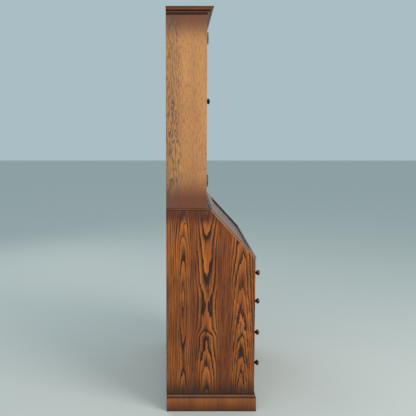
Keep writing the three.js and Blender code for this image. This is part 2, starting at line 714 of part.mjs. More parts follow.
function addDoor(name, side) {
  const frameDepth = [doorBack, BOOKCASE_DEPTH];
  const throughDepth = [doorBack - 1, BOOKCASE_DEPTH + 1];
  const frame = boardGeometry({
    x: mirrored([DOOR_GAP / 2, doorEdge], side),
    depth: frameDepth,
    z: [doorFoot, doorHead],
  });
  const panes = paneRanges(paneNear, paneFar, DOOR_PANE_COLUMNS).flatMap((x) =>
    paneRanges(paneFoot, paneHead, DOOR_PANE_ROWS).map((z) =>
      boardGeometry({ x: mirrored(x, side), depth: throughDepth, z })));
  const rebate = boardGeometry({
    x: mirrored([paneNear - GLASS_REBATE, paneFar + GLASS_REBATE], side),
    depth: [doorBack - 1, barBack],
    z: [paneFoot - GLASS_REBATE, paneHead + GLASS_REBATE],
  });
  const pockets = doorHingeMortises(mirrored([doorEdge - LEAF_THICKNESS - FIT, doorEdge + 1], side));
  addMesh(`door_${name}_frame`, joined([frame], [...panes, rebate, ...pockets]), material.oak());

  const sheet = boardGeometry({
    x: mirrored([paneNear - GLASS_REBATE + FIT, paneFar + GLASS_REBATE - FIT], side),
    depth: [barBack - FIT - GLASS_THICKNESS, barBack - FIT],
    z: [paneFoot - GLASS_REBATE + FIT, paneHead + GLASS_REBATE - FIT],
  });
  addMesh(`door_${name}_glass`, sheet, material.glass());
}

/** The case leaf lies against the side's inner face, the door leaf against the door's edge. */
function addDoorHinges(name, side) {
  const outwards = turnTo([0, 1, 0], [1, 0, 0], [0, 0, -1]);
  const inwards = turnTo([0, 1, 0], [-1, 0, 0], [0, 0, 1]);
  const half = DOOR_HINGE.length / 2;
  for (const [level, middle] of Object.entries(doorHingeMiddles)) {
    for (const [leaf, hasPin] of [['case', true], ['door', false]]) {
      const facesRight = hasPin === (side > 0);
      const geometry = hingeLeafGeometry(DOOR_HINGE, hasPin).applyMatrix4(facesRight ? outwards : inwards);
      const start = middle + (facesRight ? half : -half);
      geometry.translate(side * doorHingeAxis.x, yAt(doorHingeAxis.depth), start);
      addMesh(`door_hinge_${name}_${level}_${leaf}_leaf`, geometry, material.brass());
    }
  }
}

// ---------- The whole desk ----------

addPlinth();
addBaseSides();
addBaseBoards();
addDustBoards();
addBaseTop();
addLopers();
drawerSpaces.forEach((space, index) => {
  addDrawer(index + 1, space, index === 0 ? slotInner - DIVIDER_THICKNESS : innerHalf);
});
addBed();
const lid = makeLidFrame();
addLid(lid);
addLidHinges(lid);
addPigeonholes();
addSmallDrawers();
addBookcase();
addShelves();
addCornice();
for (const [name, side] of SIDES) {
  addDoor(name, side);
  addDoorHinges(name, side);
}
const doorKnobX = (DOOR_GAP + DOOR_STILE) / 2;
const doorKnob = placedKnob(DOOR_KNOB, doorKnobX, BOOKCASE_DEPTH, doorFoot + DOOR_KNOB_HEIGHT);
addMesh('door_knob', doorKnob, material.bronze());

export default desk;
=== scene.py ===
"""The looks of an oak bureau bookcase on its CAD frame: mouldings, turned knobs, joinery and oak finishes."""

import json
import math

import bmesh
import bpy
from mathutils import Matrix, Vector

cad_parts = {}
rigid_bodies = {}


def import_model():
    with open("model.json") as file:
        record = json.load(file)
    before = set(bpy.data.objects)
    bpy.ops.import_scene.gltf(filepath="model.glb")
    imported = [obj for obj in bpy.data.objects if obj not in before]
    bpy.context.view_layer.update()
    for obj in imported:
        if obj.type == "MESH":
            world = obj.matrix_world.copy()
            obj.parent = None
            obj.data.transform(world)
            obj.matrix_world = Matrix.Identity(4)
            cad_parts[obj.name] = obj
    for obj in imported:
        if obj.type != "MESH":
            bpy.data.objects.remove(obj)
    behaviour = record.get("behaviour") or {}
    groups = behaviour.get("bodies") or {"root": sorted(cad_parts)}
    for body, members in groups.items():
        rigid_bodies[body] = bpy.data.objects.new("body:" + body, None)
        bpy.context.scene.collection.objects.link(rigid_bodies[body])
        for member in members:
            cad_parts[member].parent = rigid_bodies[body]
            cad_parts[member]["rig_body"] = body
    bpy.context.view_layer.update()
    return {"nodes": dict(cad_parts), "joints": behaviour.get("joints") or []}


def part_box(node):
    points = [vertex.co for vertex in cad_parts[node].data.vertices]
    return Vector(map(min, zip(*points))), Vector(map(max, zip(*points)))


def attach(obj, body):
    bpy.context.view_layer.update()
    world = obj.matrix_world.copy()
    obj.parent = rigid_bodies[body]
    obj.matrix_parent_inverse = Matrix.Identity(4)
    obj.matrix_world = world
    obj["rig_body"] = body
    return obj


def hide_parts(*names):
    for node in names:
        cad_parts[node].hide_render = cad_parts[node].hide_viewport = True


bl_info = {
    "name": "Oak bureau bookcase",
    "version": (1, 0, 0),
    "blender": (4, 5, 0),
    "location": "3D View > Sidebar > Desk",
    "description": "Builds the finished pieces and oak finishes of a bureau bookcase on its CAD frame",
    "category": "Object",
}

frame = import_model()

MM = 0.001
SIDES = ("left", "right")
DRAWERS = (1, 2, 3, 4)

# Planes that many pieces share, read from the frame.
BACK_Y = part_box("base_side_left")[1].y
CARCASS_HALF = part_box("base_side_right")[1].x
INNER_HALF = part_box("base_side_right")[0].x
BASE_FRONT_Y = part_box("base_side_left")[0].y
BASE_HEAD_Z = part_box("base_side_left")[1].z
BOOKCASE_FRONT_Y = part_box("bookcase_side_left")[0].y
LID_HINGE = next(joint for joint in frame["joints"] if joint["name"] == "lid_hinge")


def tone(red, green, blue):
    """A colour given as on a paint card, 0 to 255, in the linear light that materials use."""

    def linear(value):
        value /= 255
        return value / 12.92 if value <= 0.04045 else ((value + 0.055) / 1.055) ** 2.4

    return (linear(red), linear(green), linear(blue))


# ---------- Sizes and colours that a user may change ----------


def length_property(name, description, default, low, high):
    """A length a user may change, with its default and its limits in millimetres."""
    return bpy.props.FloatProperty(
        name=name, description=description, default=default * MM, min=low * MM, max=high * MM,
        unit="LENGTH", subtype="DISTANCE",
    )


def colour_property(name, description, default):
    """A colour a user may change."""
    return bpy.props.FloatVectorProperty(
        name=name, description=description, default=default, min=0, max=1, size=3, subtype="COLOR",
    )


def power_property(name, description, default):
    """A light's power that a user may change, in watts."""
    return bpy.props.FloatProperty(name=name, description=description, default=default, min=0, unit="POWER")


class DeskSizes(bpy.types.PropertyGroup):
    """Sizes of the small details that the CAD frame leaves out."""

    arris: length_property("Arris", "Rounding along the edges of the boards", 0.8, 0.1, 2)
    fine_arris: length_property("Fine arris", "Rounding along the edges of thin inner boards", 0.4, 0.1, 1)
    cockbead: length_property("Cockbead", "Width of the bead round each drawer front", 3, 1, 6)
    cockbead_rise: length_property("Cockbead rise", "How far the bead stands above its front", 1.4, 0.2, 2.5)
    glazing_ovolo: length_property("Glazing ovolo", "Width of the moulding round each pane", 3.5, 1, 5)
    back_boards: bpy.props.IntProperty(
        name="Back boards", description="Number of upright boards in each back", default=8, min=2, max=16,
    )
    knob_segments: bpy.props.IntProperty(
        name="Knob segments", description="Facets round a turned knob", default=40, min=16, max=96,
    )


class DeskFinishes(bpy.types.PropertyGroup):
    """Colours of the oak and of the metal."""

    side_light: colour_property("Side oak, light", "Late wood of the base's sides", tone(204, 114, 46))
    side_mid: colour_property("Side oak, middle", "Ground of the base's sides", tone(164, 86, 34))
    side_line: colour_property("Side oak, lines", "Stained early wood of the base's sides", tone(36, 22, 15))
    faded_light: colour_property("Faded oak, light", "Late wood of the bookcase's sides", tone(212, 148, 90))
    faded_mid: colour_property("Faded oak, middle", "Ground of the bookcase's sides", tone(188, 126, 76))
    faded_line: colour_property("Faded oak, lines", "Pores of the bookcase's sides", tone(84, 70, 62))
    oak_light: colour_property("Oak, light", "Late wood of the fronts and boards", tone(172, 98, 44))
    oak_mid: colour_property("Oak, middle", "Ground of the fronts and boards", tone(138, 76, 36))
    oak_line: colour_property("Oak, lines", "Stained early wood of the fronts", tone(44, 26, 17))
    dark_light: colour_property("Dark oak, light", "Late wood of the mouldings and lid", tone(148, 80, 38))
    dark_mid: colour_property("Dark oak, middle", "Ground of the mouldings and lid", tone(112, 60, 32))
    dark_line: colour_property("Dark oak, lines", "Early wood of the mouldings and lid", tone(34, 20, 14))
    lining_light: colour_property("Lining, light", "Late wood inside the drawers", tone(186, 146, 100))
    lining_mid: colour_property("Lining, middle", "Ground inside the drawers", tone(160, 120, 78))
    lining_line: colour_property("Lining, lines", "Pores inside the drawers", tone(104, 74, 48))
    bronze: colour_property("Bronze", "Patina of the knobs", tone(40, 27, 23))
    copper: colour_property("Copper", "Rubbed high spots of the knobs", tone(190, 112, 82))
    brass: colour_property("Brass", "Rubbed brass of the hinges", tone(148, 126, 84))
    brass_tarnish: colour_property("Tarnish", "Tarnished brass of the hinges", tone(64, 60, 46))
    glass: colour_property("Glass", "Tint of the door glass", tone(240, 247, 245))


class DeskStage(bpy.types.PropertyGroup):
    """Colours and light of the stage round the desk."""

    floor: colour_property("Floor", "Pale studio floor", tone(206, 208, 205))
    surround: colour_property("Surround", "Pale studio surround", tone(170, 191, 197))
    key_power: power_property("Key light", "Power of the large soft light in front of the desk", 105)
    fill_power: power_property("Fill lights", "Power of each soft light beside and behind the desk", 26)


# ---------- Modelling ----------


def only(piece):
    """Makes a piece the one selected and active object, in object mode."""
    if bpy.context.mode != "OBJECT":
        bpy.ops.object.mode_set(mode="OBJECT")
    bpy.ops.object.select_all(action="DESELECT")
    piece.select_set(True)
    bpy.context.view_layer.objects.active = piece


def begin_edit(piece):
    """Opens a piece in edit mode with everything selected."""
    only(piece)
    bpy.ops.object.mode_set(mode="EDIT")
    bpy.ops.mesh.select_mode(type="FACE")
    bpy.ops.mesh.select_all(action="SELECT")


def end_edit():
    """Points every face outwards and leaves edit mode."""
    bpy.ops.mesh.select_all(action="SELECT")
    bpy.ops.mesh.normals_make_consistent(inside=False)
    bpy.ops.object.mode_set(mode="OBJECT")


def settle(piece, location=(0, 0, 0), turn=(0, 0, 0)):
    """Puts a piece at its place, and its place into its mesh."""
    only(piece)
    bpy.ops.object.transform_apply(location=True, rotation=True, scale=True)
    piece.location = location
    piece.rotation_euler = turn
    bpy.ops.object.transform_apply(location=True, rotation=True, scale=True)
    return piece


def choose_edges(piece, test):
    """Selects the edges of the piece being edited whose two ends pass the test."""
    bpy.ops.mesh.select_mode(type="EDGE")
    bpy.ops.mesh.select_all(action="DESELECT")
    shape = bmesh.from_edit_mesh(piece.data)
    for edge in shape.edges:
        edge.select_set(test(edge.verts[0].co, edge.verts[1].co))
    bmesh.update_edit_mesh(piece.data)


def stacked(name, rings):
    """A closed block that rises through rings ((x0, x1, y0, y1), z), each a rectangle at a height."""
    bpy.ops.object.select_all(action="DESELECT")
    (x0, x1, y0, y1), z = rings[0]
    middle = Vector(((x0 + x1) / 2, (y0 + y1) / 2, z))
    size = Vector((x1 - x0, y1 - y0, 1))
    bpy.ops.mesh.primitive_plane_add(size=1, location=middle)
    piece = bpy.context.object
    piece.name = name
    begin_edit(piece)
    bpy.ops.transform.resize(value=size, center_override=middle)
    for (x0, x1, y0, y1), z in rings[1:]:
        next_middle = Vector(((x0 + x1) / 2, (y0 + y1) / 2, z))
        next_size = Vector((x1 - x0, y1 - y0, 1))
        step = next_middle - middle
        bpy.ops.mesh.extrude_region_move(TRANSFORM_OT_translate={"value": step})
        growth = (next_size.x / size.x, next_size.y / size.y, 1)
        bpy.ops.transform.resize(value=growth, center_override=next_middle)
        middle, size = next_middle, next_size
    end_edit()
    return settle(piece)


def board_rings(low, high, arris):
    """The rings of a board between two corners, with its upper and lower edges eased."""
    x0, y0, z0 = low
    x1, y1, z1 = high

    def ring(inwards, z):
        inset = inwards * arris
        return (x0 + inset, x1 - inset, y0 + inset, y1 - inset), z

    steps = ((1, 0), (0.3, 0.3), (0, 1))
    foot = [ring(inwards, z0 + up * arris) for inwards, up in steps]
    head = [ring(inwards, z1 - up * arris) for inwards, up in steps]
    return foot + head[::-1]


def turned(name, profile, segments):
    """A turned solid about the Z axis, through (radius, height) points; both ends are closed."""
    bpy.ops.object.select_all(action="DESELECT")
    radius, height = profile[0]
    bpy.ops.mesh.primitive_circle_add(
        vertices=segments, radius=radius, fill_type="NGON", location=(0, 0, height)
    )
    piece = bpy.context.object
    piece.name = name
    begin_edit(piece)
    for next_radius, next_height in profile[1:]:
        step = (0, 0, next_height - height)
        bpy.ops.mesh.extrude_region_move(TRANSFORM_OT_translate={"value": step})
        growth = next_radius / radius
        bpy.ops.transform.resize(value=(growth, growth, 1), center_override=(0, 0, next_height))
        radius, height = next_radius, next_height
    end_edit()
    settle(piece)
    bpy.ops.object.shade_smooth_by_angle(angle=math.radians(38))
    return piece


def copied(name, node):
    """A merged copy of a CAD node's mesh as a new object, ready to be shaped."""
    piece = bpy.data.objects.new(name, frame["nodes"][node].data.copy())
    bpy.context.scene.collection.objects.link(piece)
    piece.data.materials.clear()
    only(piece)
    if piece.data.has_custom_normals:
        bpy.ops.mesh.customdata_custom_splitnormals_clear()
    begin_edit(piece)
    bpy.ops.mesh.remove_doubles(threshold=0.005 * MM)
    bpy.ops.mesh.dissolve_limited(angle_limit=math.radians(0.5))
    end_edit()
    return piece


def rounded(piece, width, segments=2, angle=30):
    """Rounds every edge of a piece that is sharper than an angle, and keeps its flats looking flat."""
    only(piece)
    rounding = piece.modifiers.new("rounding", "BEVEL")
    rounding.width = width
    rounding.segments = segments
    rounding.limit_method = "ANGLE"
    rounding.angle_limit = math.radians(angle)
    rounding.use_clamp_overlap = False
    bpy.ops.object.modifier_apply(modifier=rounding.name)
    return flattened(piece)


def flattened(piece, angle=50):
    """Smooths a piece's rounded edges while its large faces keep shading flat."""
    only(piece)
    bpy.ops.object.shade_smooth_by_angle(angle=math.radians(angle))
    weighting = piece.modifiers.new("weighting", "WEIGHTED_NORMAL")
    weighting.keep_sharp = True
    bpy.ops.object.modifier_apply(modifier=weighting.name)
    return piece


def carved(piece, cutters):
    """Cuts other pieces out of a piece and removes them."""
    for cutter in cutters:
        only(piece)
        cut = piece.modifiers.new("cut", "BOOLEAN")
        cut.operation = "DIFFERENCE"
        cut.solver = "EXACT"
        cut.object = cutter
        bpy.ops.object.modifier_apply(modifier=cut.name)
        bpy.data.objects.remove(cutter)
    return piece


def duplicated(piece, name, shift):
    """A copy of a piece with its own mesh, moved by a shift."""
    only(piece)
    bpy.ops.object.duplicate_move(TRANSFORM_OT_translate={"value": shift})
    copy = bpy.context.object
    copy.name = name
    return settle(copy)


def united(pieces, name):
    """Several pieces joined into one."""
    only(pieces[0])
    for piece in pieces:
        piece.select_set(True)
    bpy.ops.object.join()
    bpy.context.object.name = name
    return bpy.context.object


def dressed(piece, body, finishes, nodes=()):
    """Gives a finished piece its body and its materials, and hides the CAD nodes it stands for."""
    for finish in finishes if isinstance(finishes, (list, tuple)) else [finishes]:
        piece.data.materials.append(finish)
    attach(piece, body)
    if nodes:
        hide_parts(*nodes)
    return piece


def body_of(node):
    """The body that a CAD node rides on."""
    return frame["nodes"][node]["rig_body"]


def slot_faces(piece, index, test):
    """Gives the faces whose middle passes the test another of the piece's materials."""
    for face in piece.data.polygons:
        if test(face.center):
            face.material_index = index


def eased_board(node, arris, finish):
    """A CAD board as a finished piece, with its edges rounded."""
    piece = rounded(copied(node + "_board", node), arris)
    return dressed(piece, body_of(node), finish, [node])


def arc(centre, radius, start, end, steps):
    """Points on an arc about a centre, from one angle to another in degrees."""
    angles = [math.radians(start + (end - start) * step / steps) for step in range(steps + 1)]
    return [(centre[0] + radius * math.cos(a), centre[1] + radius * math.sin(a)) for a in angles]


def in_metres(profile):
    """A profile drawn in millimetres, in metres."""
    return [(across * MM, up * MM) for across, up in profile]


def three_sided(profile, half, front):
    """Rings for a moulding on the left, right and front of a block that ends flat at the back."""
    return [((-half - p, half + p, front - p, BACK_Y), z) for p, z in profile]


# ---------- Shader nodes ----------


class Signal:
    """A number socket that arithmetic turns into Math nodes."""

    def __init__(self, finish, socket):
        self.finish = finish
        self.socket = socket

    def maths(self, operation, *values):
        return self.finish.node("ShaderNodeMath", {"operation": operation}, dict(enumerate(values)))

    def __add__(self, other):
        return self.maths("ADD", self, other)

    def __sub__(self, other):
        return self.maths("SUBTRACT", self, other)

    def __mul__(self, other):
        return self.maths("MULTIPLY", self, other)

    def __truediv__(self, other):
        return self.maths("DIVIDE", self, other)

    def __pow__(self, other):
        return self.maths("POWER", self, other)

    def __rsub__(self, other):
        return self.maths("SUBTRACT", other, self)

    def __abs__(self):
        return self.maths("ABSOLUTE", self)

    __radd__ = __add__
    __rmul__ = __mul__

    def root(self):
        return self.maths("SQRT", self)

    def fraction(self):
        return self.maths("FRACT", self)

    def whole(self):
        return self.maths("FLOOR", self)

    def above(self, other):
        return self.maths("GREATER_THAN", self, other)

    def least(self, other):
        return self.maths("MINIMUM", self, other)

    def most(self, other):
        return self.maths("MAXIMUM", self, other)

    def between(self, low, high, to_low=0.0, to_high=1.0):
        """Eases from one value to another as this number goes from low to high."""
        settings = {"interpolation_type": "SMOOTHSTEP"}
        return self.finish.node(
            "ShaderNodeMapRange", settings, {0: self, 1: low, 2: high, 3: to_low, 4: to_high}
        )

    def along(self, stops, span):
        """A profile drawn through (place, height) stops over a span of this number."""
        low, high = span
        top = max(height for _, height in stops)
        shaped = [((place - low) / (high - low), [height / top] * 3 + [1]) for place, height in stops]
        settings = {"stops": shaped, "stop_interpolation": "CARDINAL"}
        factor = (self - low) / (high - low)
        return self.finish.node("ShaderNodeValToRGB", settings, {0: factor}) * top


class Finish:
    """One material and the nodes it is made of."""

    def __init__(self, name):
        self.material = bpy.data.materials.new(name)
        self.material.use_nodes = True
        self.nodes = self.material.node_tree.nodes
        self.links = self.material.node_tree.links
        self.nodes.clear()
        self.place = self.node("ShaderNodeTexCoord", {}, {}, "Object")
        self.x, self.y, self.z = (
            self.node("ShaderNodeSeparateXYZ", {}, {0: self.place}, axis) for axis in "XYZ"
        )

    def node(self, kind, settings, inputs, output=0):
        """Adds a node: first its settings, then the values or links of its sockets."""
        node = self.nodes.new(kind)
        for key, value in settings.items():
            if key == "stops":
                self.set_stops(node.color_ramp, value)
            elif key == "stop_interpolation":
                node.color_ramp.interpolation = value
            else:
                setattr(node, key, value)
        for key, value in inputs.items():
            if isinstance(value, Signal):
                self.links.new(value.socket, node.inputs[key])
            else:
                node.inputs[key].default_value = value
        return Signal(self, node.outputs[output]) if len(node.outputs) else node

    def set_stops(self, ramp, stops):
        """Replaces a ramp's stops."""
        while len(ramp.elements) > 1:
            ramp.elements.remove(ramp.elements[-1])
        ramp.elements[0].position, ramp.elements[0].color = stops[0]
        for position, colour in stops[1:]:
            ramp.elements.new(position).color = colour

    def vector(self, x, y, z):
        """A vector from three numbers."""
        return self.node("ShaderNodeCombineXYZ", {}, {0: x, 1: y, 2: z})

    def noise(self, vector, scale, detail=2.0, roughness=0.5):
        """Soft noise from 0 to 1 over a vector."""
        inputs = {"Vector": vector, "Scale": scale, "Detail": detail, "Roughness": roughness}
        return self.node("ShaderNodeTexNoise", {}, inputs)

    def blend(self, factor, first, second, mode="MIX"):
        """Mixes two colours, each a Signal or three numbers."""
        opaque = [c if isinstance(c, Signal) else (*c, 1) for c in (first, second)]
        settings = {"data_type": "RGBA", "blend_type": mode}
        return self.node("ShaderNodeMix", settings, {0: factor, 6: opaque[0], 7: opaque[1]}, 2)

    def layered(self, colour, *layers):
        """Lays colours over one another, each as (how much of it shows, its colour)."""
        for share, over in layers:
            colour = self.blend(share, colour, over)
        return colour

    def finished_oak(self, colour, dark, pooled, lines, flecks, depth, roughness, **constants):
        """Ends an oak: rougher where it is dark or pooled, and hollow along its lines and pores."""
        base, by_dark, by_pooled = roughness
        roughness = dark * by_dark + pooled * by_pooled + base
        return self.finished(colour, roughness, 1 - (lines * 0.5 + flecks * 0.6), depth, **constants)

    def finished(self, colour, roughness, bump=None, distance=0.2 * MM, **constants):
        """Ends the material in one Principled shader."""
        inputs = {"Base Color": colour, "Roughness": roughness}
        if bump is not None:
            bump_inputs = {"Height": bump, "Distance": distance, "Strength": 1.0}
            inputs["Normal"] = self.node("ShaderNodeBump", {}, bump_inputs)
        inputs.update({key.replace("_", " "): value for key, value in constants.items()})
        shader = self.node("ShaderNodeBsdfPrincipled", {}, inputs)
        self.node("ShaderNodeOutputMaterial", {}, {0: shader})
        return self.material


def ring_lines(finish, phase, sharpness=3.0):
    """Early wood: dark where each ring starts, then fading, and stronger in some rings than in others."""
    early = (1 - phase.fraction()) ** sharpness
    onset = phase.fraction().between(0.0, 0.05)
    strength = finish.noise(finish.vector(phase.whole() * 0.37, 0.5, 0.5), 3.0, 0.0)
    return early * onset * strength.between(0.3, 0.6, 0.62, 1.0)


def pores(finish, across, through, along, length=0.012, width=0.0009):
    """Long thin pores along the grain, from 0 to 1."""
    place = finish.vector(across / width, through / width, along / length)
    return finish.noise(place, 1.0, 1.0).between(0.56, 0.74)


def side_noise(finish, stretch, scale=1.0, detail=3.0, roughness=0.5):
    """Noise over an upright side, by how it is packed across the side, through it and along the grain."""
    across, through, along = stretch
    place = finish.vector(finish.y * across, finish.x * through, finish.z * along)
    return finish.noise(place, scale, detail, roughness)


def bands(finish, *levels):
    """Level bands along a moulding, from 0 to 1, by (height, half width, strength) each."""
    total = None
    for level, half, strength in levels:
        band = (1 - abs(finish.z - level).between(half * 0.35, half)) * strength
        total = band if total is None else total.most(band)
    return total


def oak_finish(
    name, run, palette, pith, pitch=8 * MM, wobble=11 * MM,
    contrast=0.8, gloss=0.36, coat=0.12, specular=0.35, patina=None,
):
    """Oak with its grain along X, Y or Z. The pith is a line along the grain, through a point across it."""
    light, mid, line = palette
    finish = Finish(name)
    axes = {"X": (finish.y, finish.z, finish.x), "Y": (finish.x, finish.z, finish.y)}
    across, through, along = axes.get(run, (finish.x, finish.y, finish.z))
    a = across - pith[0]
    b = through - pith[1]
    slow = finish.vector(a * 3.0, b * 3.0, along * 1.3)
    bend = (finish.noise(slow, 1.6, 2.0) - 0.5) * (2.6 * wobble)
    shift = (finish.noise(slow, 2.3, 1.0) - 0.5) * (2.2 * wobble)
    quick = (finish.noise(finish.vector(a * 14.0, b * 14.0, along * 3.0), 2.0, 2.0) - 0.5) * (0.5 * wobble)
    spread_a = a + bend
    spread_b = b + shift
    radius = (spread_a * spread_a + spread_b * spread_b).root() + quick
    lines = ring_lines(finish, radius / pitch)
    flecks = pores(finish, across, through, along)
    pooled = finish.noise(finish.vector(a * 5.0, b * 5.0, along * 1.5), 2.0, 3.0)
    ground = finish.blend(pooled.between(0.32, 0.68), mid, light)
    dark = (lines * contrast + flecks * (lines * 0.55 + 0.22)).least(1.0)
    colour = finish.blend(dark, ground, line)
    streaks = finish.noise(finish.vector(a * 60.0, b * 60.0, along * 1.2), 2.0, 2.0)
    colour = finish.blend(streaks.between(0.35, 0.7, 0.0, 0.22), colour, line)
    # Layers that a piece adds over its oak, chiefly painted shade and painted highlights.
    if patina:
        colour = patina(finish, colour)
    return finish.finished_oak(
        colour, dark, pooled, lines, flecks, 0.12 * MM, (gloss, 0.2, 0.08),
        Coat_Weight=coat, Coat_Roughness=0.18, Specular_IOR_Level=specular,
    )


# Glued boards of a base side: how far forwards of the back each ends ("limit") and has its centre,
# the spacing of its straight lines, how jagged its arches are, and how many rings lie under its
# centre line at each height.
BASE_SIDE_BOARDS = {
    "back": {
        "limit": 0.140, "centre": 0.086, "pitch": 7.6 * MM, "spikes": 0.8,
        "rings": [
            (0.0, 1.6), (0.10, 2.3), (0.205, 3.03), (0.28, 3.45), (0.359, 3.02), (0.45, 2.4), (0.53, 2.1),
            (0.62, 2.0), (0.70, 2.5), (0.757, 3.03), (0.83, 3.4), (0.883, 4.03), (1.02, 5.2),
        ],
    },
    "middle": {
        "limit": 0.250, "centre": 0.200, "pitch": 10.5 * MM, "spikes": 1.0,
        "rings": [
            (0.0, 0.6), (0.10, 1.6), (0.20, 2.4), (0.262, 3.03), (0.31, 3.6), (0.38, 4.02), (0.415, 5.03),
            (0.47, 5.4), (0.55, 5.7), (0.648, 4.98), (0.76, 4.4), (0.868, 3.98), (0.95, 3.2), (1.02, 2.6),
        ],
    },
    "front": {
        "limit": 9.0, "centre": 0.372, "pitch": 7.5 * MM, "spikes": 2.1,
        "rings": [
            (0.0, 2.5), (0.12, 3.2), (0.20, 3.9), (0.27, 4.6), (0.33, 5.1), (0.40, 5.95), (0.47, 6.5),
            (0.55, 7.1), (0.62, 7.7), (0.70, 8.2), (0.808, 9.02), (1.02, 10.2),
        ],
    },
}


def base_side_finish(name, palette):
    """Stained oak of a base side: three glued boards, each with its own arches, under a worn polish, with
    painted shade along its top, foot and back edge.
    """
    light, mid, line = palette
    finish = Finish(name)
    depth = BACK_Y - finish.y
    sway = (side_noise(finish, (9.0, 9.0, 1.6), 1.4, 2.0) - 0.5) * 0.020
    fray = side_noise(finish, (42.0, 20.0, 7.0), roughness=0.6)
    spikes = side_noise(finish, (105.0, 40.0, 11.0), roughness=0.65)
    calm = finish.z.between(0.50, 0.70, 1.0, 0.32)
    phase = None
    for board in BASE_SIDE_BOARDS.values():
        under = finish.z.along(board["rings"], (0.0, 1.02))
        across = (depth + sway - board["centre"]) / board["pitch"]
        rings = (under * under + across * across).root()
        rings = rings + (spikes - 0.5) * (under / rings) * calm * board["spikes"]
        if phase is None:
            phase, limit = rings, board["limit"]
            continue
        phase = phase + (rings + 7.3 - phase) * depth.above(limit)
        limit = board["limit"]
    phase = phase + (fray - 0.5) * 0.9
    lines = ring_lines(finish, phase, 1.7)
    # Calm stretches beside the glue lines, and the narrow front edge.
    quiet = depth.between(0.240, 0.262) * (1 - depth.between(0.312, 0.335))
    quiet = quiet + depth.between(0.108, 0.126) * (1 - depth.between(0.148, 0.166)) * 0.8
    edge = depth.above(BACK_Y - BASE_FRONT_Y - 0.6 * MM)
    lines = lines * (1 - quiet * 0.5) * (1 - edge * 0.7)
    fine = side_noise(finish, (190.0, 190.0, 11.0), roughness=0.62).between(0.44, 0.68)
    flecks = pores(finish, finish.y, finish.x, finish.z, 0.016, 0.0011)
    pooled = side_noise(finish, (11.0, 11.0, 3.2), 1.3)
    # Painted shade: darker towards the foot and the top of the side, and a little by its back edge.
    shade = (1 - finish.z.between(0.075, 0.20)) * 0.50 + (1 - finish.z.between(0.12, 0.50)) * 0.10
    shade = shade + finish.z.between(0.93, 1.0) * 0.50 + (1 - depth.between(0.0, 0.03)) * 0.12
    ground = finish.blend(pooled.between(0.3, 0.7), mid, light)
    ground = finish.layered(ground, (quiet * 0.72, tone(120, 56, 30)), (shade.least(0.8), tone(84, 42, 26)))
    dark = (lines * 1.45 + flecks * (lines * 0.4 + 0.25) + fine * (quiet * 0.16 + 0.30)).least(0.96)
    colour = finish.blend(dark, ground, line)
    # Dark stains, then painted shade in a band under the top and a band along the foot, their edges wavering.
    shade_wobble = side_noise(finish, (12.0, 12.0, 5.0)) * 0.05
    colour = finish.layered(
        colour,
        (stains(finish, depth), tone(48, 32, 26)),
        ((finish.z + shade_wobble).between(0.955, 1.015) * 0.62, tone(92, 46, 32)),
        ((1 - (finish.z - shade_wobble).between(0.055, 0.135)) * 0.75, tone(58, 36, 24)),
    )
    return finish.finished_oak(
        colour, dark, pooled, lines, flecks, 0.14 * MM, (0.34, 0.22, 0.10),
        Coat_Weight=0.05, Coat_Roughness=0.25, Specular_IOR_Level=0.25,
    )


# Dark marks on a base side: (distance from the back, height, half width, half height, strength).
BASE_SIDE_MARKS = (
    (0.073, 0.982, 0.016, 0.030, 0.75),
    (0.183, 0.980, 0.018, 0.028, 0.8),
    (0.091, 0.948, 0.0045, 0.006, 1.4),
    (0.205, 0.600, 0.010, 0.030, 0.8),
    (0.196, 0.412, 0.009, 0.026, 0.9),
)


def stains(finish, depth):
    """Dark marks on a base side: two patches and a small knot by its top, and two inside its arches."""
    blotch = finish.noise(finish.place, 26.0, 3.0)
    total = None
    for centre, level, wide, tall, strength in BASE_SIDE_MARKS:
        across = (depth - centre) / wide
        up = (finish.z - level) / tall
        spot = 1 - (across * across + up * up).root().between(0.35, 1.15)
        spot = spot * blotch.between(0.30, 0.55) * strength
        total = spot if total is None else total + spot
    return total.least(0.85)


def bookcase_side_finish(name, palette):
    """Sun-faded oak of a bookcase side: figured towards the back, plain and finely flecked in front, with
    painted shade under the cornice.
    """
    light, mid, line = palette
    finish = Finish(name)
    depth = BACK_Y - finish.y
    wander = side_noise(finish, (13.0, 13.0, 3.4), 1.0, 4.0, 0.62)
    jag = side_noise(finish, (60.0, 30.0, 17.0), roughness=0.65)
    phase = depth / (15.0 * MM) + wander * 7.5 + jag * 1.8
    figured = 1 - depth.between(0.052, 0.090)
    front_figure = depth.between(0.150, 0.172) * finish.noise(finish.place, 7.0, 1.0).between(0.4, 0.65)
    lower = 1 - finish.z.between(1.36, 1.66) * 0.18
    lines = ring_lines(finish, phase, 3.0) * (figured * lower * 1.05 + front_figure * 0.45 + 0.06)
    fine = side_noise(finish, (200.0, 200.0, 30.0), roughness=0.66).between(0.42, 0.70)
    flecks = pores(finish, finish.y, finish.x, finish.z, 0.018, 0.0012)
    pooled = side_noise(finish, (14.0, 14.0, 2.4), 1.2, 4.0)
    ground = finish.blend(pooled.between(0.15, 0.85), mid, light)
    # Painted shade under the cornice; the side is also darker towards its foot and darker and greyer by its
    # back edge.
    head = finish.z.between(1.81, 1.93) * 0.88
    foot = (1 - finish.z.between(1.045, 1.20)) * 0.92 + (1 - finish.z.between(1.16, 1.36)) * 0.12
    rear = (1 - depth.between(0.01, 0.07)) * 0.22
    ground = finish.layered(
        ground, (head, tone(112, 60, 44)), (foot.least(0.94), tone(116, 58, 36)), (rear, tone(120, 90, 70)),
    )
    dark = (lines * 1.05 + flecks * (lines * 0.35 + 0.26) + fine * 0.42).least(0.9)
    colour = finish.blend(dark, ground, line)
    return finish.finished_oak(
        colour, dark, pooled, lines, flecks, 0.14 * MM, (0.42, 0.18, 0.12),
        Coat_Weight=0.03, Coat_Roughness=0.3, Specular_IOR_Level=0.3,
    )


